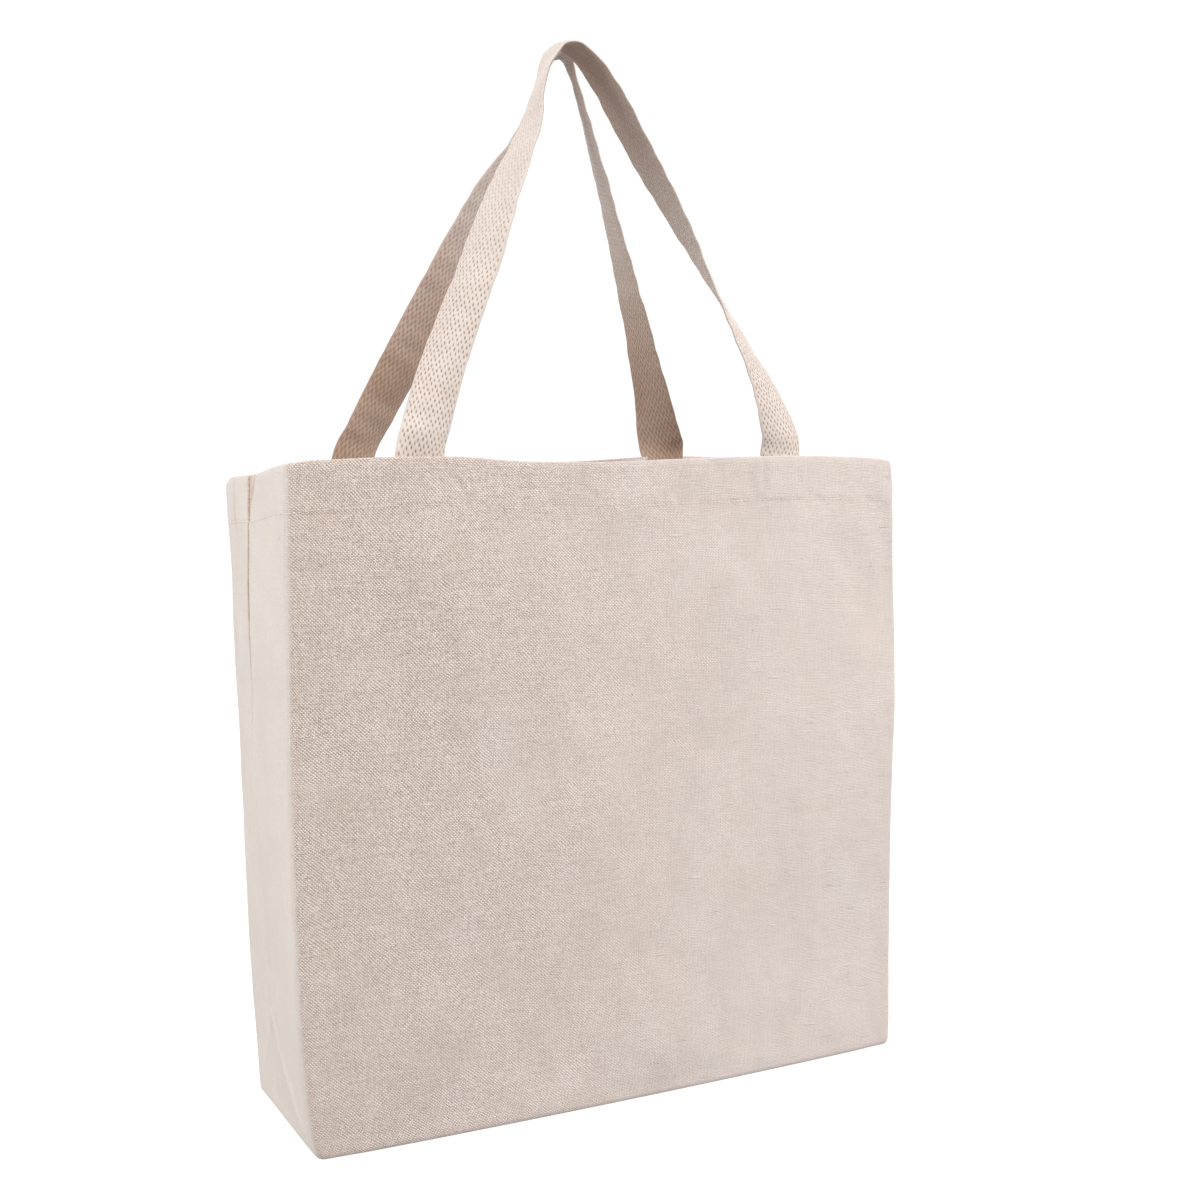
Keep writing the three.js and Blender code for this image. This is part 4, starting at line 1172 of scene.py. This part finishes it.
# ---------------------------------------------------------------- materials
class Tree:
    def __init__(self, name):
        self.m = bpy.data.materials.new(name)
        self.m.use_nodes = True
        self.t = self.m.node_tree
        self.t.nodes.clear()
        self.out = self.t.nodes.new("ShaderNodeOutputMaterial")
        self.bsdf = self.t.nodes.new("ShaderNodeBsdfPrincipled")
        self.t.links.new(self.bsdf.outputs[0], self.out.inputs[0])

    def put(self, socket, v):
        if isinstance(v, bpy.types.NodeSocket):
            self.t.links.new(v, socket)
        else:
            socket.default_value = v

    def math(self, op, a, b=0.0, c=0.0, clamp=False):
        n = self.t.nodes.new("ShaderNodeMath")
        n.operation = op
        n.use_clamp = clamp
        for k, v in enumerate((a, b, c)):
            self.put(n.inputs[k], v)
        return n.outputs[0]

    def attr(self, name, out="Vector"):
        n = self.t.nodes.new("ShaderNodeAttribute")
        n.attribute_name = name
        return n.outputs[out]

    def vec(self, op, a, b=(0, 0, 0)):
        n = self.t.nodes.new("ShaderNodeVectorMath")
        n.operation = op
        self.put(n.inputs[0], a)
        self.put(n.inputs[1], b)
        return n.outputs[0]

    def split(self, v):
        n = self.t.nodes.new("ShaderNodeSeparateXYZ")
        self.put(n.inputs[0], v)
        return n.outputs

    def join(self, x, y, z=0.0):
        n = self.t.nodes.new("ShaderNodeCombineXYZ")
        for k, v in enumerate((x, y, z)):
            self.put(n.inputs[k], v)
        return n.outputs[0]

    def noise(self, v, scale=1.0, detail=2.0, rough=0.5, color=False):
        n = self.t.nodes.new("ShaderNodeTexNoise")
        self.put(n.inputs["Vector"], v)
        n.inputs["Scale"].default_value = scale
        n.inputs["Detail"].default_value = detail
        n.inputs["Roughness"].default_value = rough
        return n.outputs["Color" if color else "Fac"]

    def range(self, v, a, b, c=0.0, d=1.0, smoothstep=True):
        n = self.t.nodes.new("ShaderNodeMapRange")
        n.interpolation_type = "SMOOTHSTEP" if smoothstep else "LINEAR"
        for k, x in enumerate((v, a, b, c, d)):
            self.put(n.inputs[k], x)
        return n.outputs[0]

    def mix(self, f, a, b, mode="MIX"):
        n = self.t.nodes.new("ShaderNodeMix")
        n.data_type = "RGBA"
        n.blend_type = mode
        self.put(n.inputs[0], f)
        self.put(n.inputs[6], a)
        self.put(n.inputs[7], b)
        return n.outputs[2]

    def bump(self, height, distance, strength=1.0, normal=None):
        n = self.t.nodes.new("ShaderNodeBump")
        n.inputs["Strength"].default_value = strength
        n.inputs["Distance"].default_value = distance
        self.put(n.inputs["Height"], height)
        if normal is not None:
            self.t.links.new(normal, n.inputs["Normal"])
        return n.outputs[0]


def finish_cloth(T, colour, normal, rough, sheen):
    b = T.bsdf
    T.put(b.inputs["Base Color"], colour)
    T.put(b.inputs["Normal"], normal)
    T.put(b.inputs["Roughness"], rough)
    b.inputs["Sheen Weight"].default_value = sheen
    b.inputs["Sheen Roughness"].default_value = 0.55
    b.inputs["Sheen Tint"].default_value = (1.0, 0.96, 0.92, 1)
    b.inputs["Specular IOR Level"].default_value = 0.18


WARP, WEFT = 0.94, 0.91        # yarn pitch, mm


def canvas_material(name, light, dark, grain, pale=0.0, gradient=None, edge=0.0):
    """Plain weave of uneven yarns. grain: how plainly the yarns show; gradient: (u0, u1, grain1, pale1) along the
    cloth, a painted wash of light that fades the grain and pales the colour towards u1; edge: strength of a painted
    highlight along the upright creases.
    """
    T = Tree(name)
    v = T.attr("cloth")
    wander = T.vec("SUBTRACT", T.noise(v, 0.045, 2.0, color=True), (0.5, 0.5, 0.5))
    v2 = T.vec("ADD", v, T.vec("MULTIPLY", wander, (4.6, 4.6, 0)))
    u0, w0, _ = T.split(v)
    u, w, _ = T.split(v2)
    a = T.math("DIVIDE", u, WARP)
    b = T.math("DIVIDE", w, WEFT)
    # over and under: neighbouring crossings swap
    c = T.math("MULTIPLY", T.math("SINE", T.math("MULTIPLY", a, math.pi)), T.math("SINE", T.math("MULTIPLY", b, math.pi)))
    diag = T.math("COSINE", T.math("MULTIPLY", T.math("ADD", a, b), math.pi))
    weave = T.math("MULTIPLY_ADD", diag, -0.32, T.math("MULTIPLY", c, 0.75))
    knots = T.math("POWER", T.math("ABSOLUTE", c), 0.55)
    # thick and thin yarns
    warp_y = T.noise(T.join(T.math("MULTIPLY", a, 0.9), T.math("MULTIPLY", b, 0.05), 3.1), 1.0, 2.0, 0.55)
    weft_y = T.noise(T.join(T.math("MULTIPLY", a, 0.045), T.math("MULTIPLY", b, 0.9), 8.4), 1.0, 2.0, 0.55)
    slub = T.range(T.noise(T.join(T.math("MULTIPLY", a, 0.07), T.math("MULTIPLY", b, 0.62), 21.0), 1.0, 1.0, 0.4), 0.68, 0.79)
    fuzz = T.noise(T.join(u, w, 5.0), 1.5, 2.0, 0.7)
    speck = T.noise(T.join(u, w, 15.0), 0.62, 1.0, 0.5)
    mottle = T.noise(T.join(u, w, 9.0), 0.022, 3.0, 0.55)
    blotch = T.noise(T.join(u, w, 2.0), 0.11, 2.0, 0.5)
    if gradient:
        # the grain fades and the colour pales towards u1, a painted wash of light
        g = T.range(u0, gradient[0], gradient[1], grain, gradient[2])
        low = T.range(w0, 20.0, 260.0, 0.72, 1.0)
        g = T.math("MULTIPLY", g, low)
        g = T.math("MULTIPLY", g, T.range(mottle, 0.3, 0.7, 0.75, 1.2))
        g = T.math("MULTIPLY", g, T.range(T.math("ABSOLUTE", u0), 187.5, 191.5, 1.0, 0.12))
        painted_light_wash = T.range(u0, gradient[0], gradient[1], pale, gradient[3])
    else:
        g = T.range(mottle, 0.3, 0.7, grain * 0.75, grain * 1.2)
        painted_light_wash = None
    fine = T.math("MULTIPLY", weave, T.range(blotch, 0.3, 0.7, 0.42, 0.74))
    fine = T.math("MULTIPLY_ADD", T.math("SUBTRACT", knots, 0.62), 0.30, fine)
    fine = T.math("MULTIPLY_ADD", T.math("SUBTRACT", warp_y, 0.5), 0.40, fine)
    fine = T.math("MULTIPLY_ADD", T.math("SUBTRACT", weft_y, 0.5), 0.50, fine)
    fine = T.math("MULTIPLY_ADD", T.math("SUBTRACT", fuzz, 0.5), 1.5, fine)
    fine = T.math("MULTIPLY_ADD", T.math("SUBTRACT", speck, 0.5), 1.0, fine)
    fine = T.math("MULTIPLY_ADD", slub, 0.20, fine)
    val = T.math("MULTIPLY_ADD", fine, g, 0.55)
    val = T.math("MULTIPLY_ADD", T.math("SUBTRACT", mottle, 0.5), 0.34, val)
    val = T.math("MULTIPLY_ADD", T.math("SUBTRACT", blotch, 0.5), 0.12, val, clamp=True)
    col = T.mix(val, dark, light)
    # a faint drift between warmer and cooler cotton
    warm = T.noise(T.join(u, w, 30.0), 0.03, 2.0, 0.5)
    col = T.mix(T.range(warm, 0.35, 0.7, 0.0, 0.12), col, (0.72, 0.585, 0.465, 1))
    tone = T.noise(T.join(u, T.math("MULTIPLY", w, 0.6), 52.0), 0.028, 2.0, 0.55)
    col = T.mix(T.range(tone, 0.50, 0.76, 0.0, 0.26), col, (0.80, 0.665, 0.585, 1))
    col = T.mix(T.range(tone, 0.24, 0.50, 0.20, 0.0), col, (0.80, 0.765, 0.745, 1))
    # painted light: the colour pales under the painted wash
    if painted_light_wash is not None:
        col = T.mix(painted_light_wash, col, (0.93, 0.865, 0.825, 1))
    # painted highlight: a pale band along the upright creases at the panels' edges
    if edge:
        crease_band = T.range(T.math("ABSOLUTE", u0), 187.8, 191.3)
        painted_edge_highlight = T.math("MULTIPLY", crease_band, T.range(fuzz, 0.3, 0.7, 0.6 * edge, edge))
        col = T.mix(painted_edge_highlight, col, (0.93, 0.875, 0.82, 1))

    # seed husks: small dark flecks, each its own size
    def flecks(size, share, radius, seed):
        n = T.t.nodes.new("ShaderNodeTexVoronoi")
        n.feature = "F1"
        n.inputs["Scale"].default_value = 1.0 / size
        stretched = T.vec("MULTIPLY", T.vec("ADD", v, (seed, seed * 0.7, 0)), (1.0, 0.72, 0))
        T.put(n.inputs["Vector"], stretched)
        pick = T.split(n.outputs["Color"])
        chosen = T.math("GREATER_THAN", pick[0], 1 - share)
        r = T.math("MULTIPLY_ADD", pick[1], radius * 0.8, radius * 0.45)
        near = T.range(T.math("DIVIDE", n.outputs["Distance"], T.math("DIVIDE", r, size)), 0.5, 1.0, 1.0, 0.0)
        return T.math("MULTIPLY", near, T.math("MULTIPLY", chosen, T.math("MULTIPLY_ADD", pick[2], 0.55, 0.3)))
    col = T.mix(T.math("MULTIPLY", flecks(4.6, 0.20, 0.50, 91.0), 0.42), col, (0.36, 0.27, 0.20, 1))
    col = T.mix(T.math("MULTIPLY", flecks(11.0, 0.24, 0.70, 3.0), 0.62), col, (0.27, 0.17, 0.11, 1))
    col = T.mix(T.math("MULTIPLY", flecks(34.0, 0.55, 1.15, 57.0), 0.95), col, (0.13, 0.075, 0.05, 1))
    # painted shade in the gussets' grooves: a brown mixed in by the groove-shade attribute, broken up by noise
    painted_groove_shade = T.attr("painted_groove_shade", "Fac")
    groove_shade_amount = T.math("MULTIPLY", painted_groove_shade, T.range(T.noise(T.join(T.math("MULTIPLY", u, 0.6), w, 77.0), 0.8, 2.0, 0.6), 0.3, 0.62, 0.55, 1.0))
    col = T.mix(groove_shade_amount, col, (0.42, 0.175, 0.055, 1))
    height = T.math("MULTIPLY_ADD", knots, 0.8, T.math("MULTIPLY", weft_y, 0.6))
    height = T.math("MULTIPLY_ADD", warp_y, 0.45, height)
    height = T.math("MULTIPLY_ADD", fuzz, 0.3, height)
    height = T.math("MULTIPLY_ADD", slub, 0.8, height)
    normal = T.bump(height, 0.0003, 1.0)
    if gradient is None:
        normal.node.inputs["Strength"].default_value = min(1.0, 0.25 + grain * 0.75)
    rough = T.range(val, 0.0, 1.0, 0.97, 0.86, False)
    finish_cloth(T, col, normal, rough, 0.25)
    return T.m


def webbing_material(name, light, dark):
    T = Tree(name)
    v = T.attr("strap")
    rel = T.attr("relief", "Fac")
    u, w, _ = T.split(v)
    # painted shade in the pits between the grains: the lower the relief, the more shade
    gap = T.range(rel, 0.15, 0.82, 1.0, 0.0)
    deep = T.range(rel, 0.10, 0.62, 1.0, 0.0)
    # distance from the handles' middles, where the painted shade in the pits is weaker
    mid = T.math("ABSOLUTE", T.math("SUBTRACT", w, 300.0))
    pit_shade_fade = T.range(mid, 40.0, 215.0, 0.35, 1.0)
    yarn = T.noise(T.join(T.math("MULTIPLY", u, 2.2), T.math("MULTIPLY", w, 0.55), 4.0), 1.0, 2.0, 0.6)
    hair = T.noise(T.join(T.math("MULTIPLY", u, 5.0), T.math("MULTIPLY", w, 1.4), 14.0), 1.0, 2.0, 0.6)
    mott = T.noise(T.join(u, w, 2.0), 0.16, 2.0, 0.5)
    drift = T.noise(T.join(u, w, 6.0), 0.035, 2.0, 0.5)
    val = T.math("MULTIPLY_ADD", T.math("SUBTRACT", yarn, 0.5), 0.6, 0.55)
    val = T.math("MULTIPLY_ADD", T.math("SUBTRACT", hair, 0.5), 0.4, val)
    val = T.math("MULTIPLY_ADD", T.math("SUBTRACT", mott, 0.5), 0.4, val)
    val = T.math("MULTIPLY_ADD", T.math("SUBTRACT", drift, 0.5), 0.3, val, clamp=True)
    col = T.mix(val, dark, light)
    # painted shade in the pits, uneven along the handle and weaker towards its middle: a mid brown, then a near black
    # brown in the deepest
    uneven = T.range(T.noise(T.join(u, w, 12.0), 0.45, 1.0, 0.5), 0.3, 0.7, 0.6, 1.0)
    uneven = T.math("MULTIPLY", uneven, pit_shade_fade)
    col = T.mix(T.math("MULTIPLY", T.math("MULTIPLY", gap, 0.62), uneven), col, (0.46, 0.30, 0.20, 1))
    col = T.mix(T.math("MULTIPLY", T.math("MULTIPLY", deep, 0.92), uneven), col, (0.20, 0.085, 0.03, 1))
    # painted shade on the face that lies towards the other handle, its strength changing along the handle, with the
    # grains left lighter than the pits
    front_inner = T.math("MULTIPLY", T.math("GREATER_THAN", u, 50.0), T.math("LESS_THAN", u, 150.0))
    back_inner = T.math("GREATER_THAN", u, 150.0)
    painted_inner_shade = T.math("MULTIPLY", front_inner, T.range(mid, 10.0, 160.0, 0.56, 0.14))
    painted_inner_shade = T.math("MULTIPLY_ADD", back_inner, T.range(mid, 60.0, 225.0, 0.10, 0.84), painted_inner_shade)
    painted_inner_shade = T.math("MULTIPLY", painted_inner_shade, T.range(drift, 0.3, 0.7, 0.88, 1.08))
    painted_inner_shade = T.math("MULTIPLY", painted_inner_shade, T.range(rel, 0.25, 0.95, 1.22, 0.78, False), clamp=True)
    col = T.mix(painted_inner_shade, col, (0.345, 0.21, 0.14, 1))
    height = T.math("MULTIPLY_ADD", yarn, 1.0, T.math("MULTIPLY", hair, 0.6))
    normal = T.bump(height, 0.00018, 0.8)
    rough = T.range(val, 0.0, 1.0, 0.95, 0.82, False)
    finish_cloth(T, col, normal, rough, 0.30)
    return T.m


def thread_material(name, light, dark):
    T = Tree(name)
    r, s, k = T.split(T.attr("thread"))
    twist = T.math("SINE", T.math("MULTIPLY_ADD", r, 2.4, T.math("MULTIPLY", s, 1.047)))
    fib = T.noise(T.join(r, s, k), 1.7, 2.0, 0.5)
    val = T.math("MULTIPLY_ADD", twist, 0.18, T.math("MULTIPLY_ADD", T.math("SUBTRACT", fib, 0.5), 0.5, 0.6), clamp=True)
    col = T.mix(val, dark, light)
    normal = T.bump(T.math("MULTIPLY_ADD", twist, 0.5, fib), 0.00006, 0.7)
    rough = T.range(val, 0.0, 1.0, 0.8, 0.62, False)
    finish_cloth(T, col, normal, rough, 0.2)
    return T.m


LIGHT, DARK = (0.95, 0.835, 0.765, 1), (0.44, 0.335, 0.285, 1)
# the front canvas carries a painted wash of light and, like the back, a painted highlight along its creases
CANVAS = canvas_material("natural_canvas", LIGHT, DARK, 1.0, 0.02, gradient=(-150.0, 150.0, 0.26, 0.34), edge=0.62)
CANVAS_BACK = canvas_material("natural_canvas_back", LIGHT, DARK, 0.62, edge=0.45)
# the gussets' canvas is a paler, lower-contrast copy of the same cloth: painted light standing in for the left lamp
# falling on them
CANVAS_SIDE = canvas_material("natural_canvas_side", (0.92, 0.855, 0.795, 1), (0.60, 0.53, 0.475, 1), 0.22)
WEBBING = webbing_material("cotton_webbing", (0.84, 0.755, 0.705, 1), (0.62, 0.53, 0.475, 1))
THREAD = thread_material("sewing_thread", (0.88, 0.81, 0.74, 1), (0.66, 0.56, 0.48, 1))
front_cloth.data.materials.append(CANVAS)
back_cloth.data.materials.append(CANVAS_BACK)
base_cloth.data.materials.append(CANVAS_BACK)
for o in (left_cloth, right_cloth, allow["left"], allow["right"]):
    o.data.materials.append(CANVAS_SIDE)
for key, o in handles.items():
    if not isinstance(o, float):
        o.data.materials.append(WEBBING)
for o in list(thread_pieces.values()) + list(box_pieces.values()) + list(over.values()):
    o.data.materials.append(THREAD)


# ---------------------------------------------------------------- stage, light and camera
def stage_floor():
    me = bpy.data.meshes.new("floor")
    me.from_pydata([(-30, -30, -0.0004), (30, -30, -0.0004), (30, 30, -0.0004), (-30, 30, -0.0004)], [], [(0, 1, 2, 3)])
    o = bpy.data.objects.new("floor", me)
    bpy.context.scene.collection.objects.link(o)
    m = bpy.data.materials.new("pale_floor")
    m.use_nodes = True
    t = m.node_tree
    t.nodes.clear()
    out = t.nodes.new("ShaderNodeOutputMaterial")
    add = t.nodes.new("ShaderNodeAddShader")
    d = t.nodes.new("ShaderNodeBsdfDiffuse")
    d.inputs[0].default_value = (0.22, 0.22, 0.22, 1)
    e = t.nodes.new("ShaderNodeEmission")
    e.inputs[0].default_value = (1, 1, 1, 1)
    e.inputs[1].default_value = 1.0
    t.links.new(d.outputs[0], add.inputs[0])
    t.links.new(e.outputs[0], add.inputs[1])
    t.links.new(add.outputs[0], out.inputs[0])
    me.materials.append(m)
    o.visible_diffuse = False
    o.visible_glossy = False
    o.visible_shadow = False
    return o


stage_floor()

world = bpy.data.worlds.new("studio")
bpy.context.scene.world = world
world.use_nodes = True
wt = world.node_tree
wt.nodes.clear()
wo = wt.nodes.new("ShaderNodeOutputWorld")
wm = wt.nodes.new("ShaderNodeMixShader")
lp = wt.nodes.new("ShaderNodeLightPath")
soft = wt.nodes.new("ShaderNodeBackground")
soft.inputs[0].default_value = (1.0, 0.99, 0.985, 1)
soft.inputs[1].default_value = 0.47
white = wt.nodes.new("ShaderNodeBackground")
white.inputs[0].default_value = (1, 1, 1, 1)
white.inputs[1].default_value = 1.05
wt.links.new(lp.outputs["Is Camera Ray"], wm.inputs[0])
wt.links.new(soft.outputs[0], wm.inputs[1])
wt.links.new(white.outputs[0], wm.inputs[2])
wt.links.new(wm.outputs[0], wo.inputs[0])


def area(name, loc, target, size, power, colour=(1, 1, 1), size_y=None):
    l = bpy.data.lights.new(name, "AREA")
    l.shape = "RECTANGLE"
    l.size = size
    l.size_y = size_y or size
    l.energy = power
    l.color = colour
    o = bpy.data.objects.new(name, l)
    bpy.context.scene.collection.objects.link(o)
    o.location = loc
    o.rotation_euler = (Vector(target) - Vector(loc)).to_track_quat("-Z", "Y").to_euler()
    o.visible_camera = False
    return o


area("top_softbox", (-0.25, -0.75, 2.6), (0.0, 0.0, 0.3), 1.8, 28.0)
area("left_softbox", (-2.4, 0.1, 0.85), (-0.15, 0.0, 0.25), 1.4, 31.0, (1.0, 1.0, 1.0))
area("back_softbox", (0.5, 2.6, 1.2), (0.0, 0.0, 0.2), 1.6, 30.0)
area("right_fill", (1.7, -2.1, 1.3), (0.15, 0.0, 0.25), 1.3, 50.0, (1.0, 0.995, 0.99))

CAM_LOC = Vector((-0.43558, -0.87506, 0.35986))
YAW, PITCH, ROLL = 0.477920, 0.0764044, -0.0099615
fwd = Vector((math.sin(YAW) * math.cos(PITCH), math.cos(YAW) * math.cos(PITCH), -math.sin(PITCH)))
right = Vector((math.cos(YAW), -math.sin(YAW), 0))
up = right.cross(fwd)
r2 = math.cos(ROLL) * right + math.sin(ROLL) * up
u2 = -math.sin(ROLL) * right + math.cos(ROLL) * up
cam_data = bpy.data.cameras.new("camera")
cam_data.lens = 49.44
cam_data.sensor_width = 36.0
cam_data.clip_start = 0.01
cam = bpy.data.objects.new("camera", cam_data)
bpy.context.scene.collection.objects.link(cam)
m = Matrix((
    (r2.x, u2.x, -fwd.x, CAM_LOC.x),
    (r2.y, u2.y, -fwd.y, CAM_LOC.y),
    (r2.z, u2.z, -fwd.z, CAM_LOC.z),
    (0, 0, 0, 1)))
cam.matrix_world = m
bpy.context.scene.camera = cam
bpy.context.scene.view_settings.view_transform = "Standard"
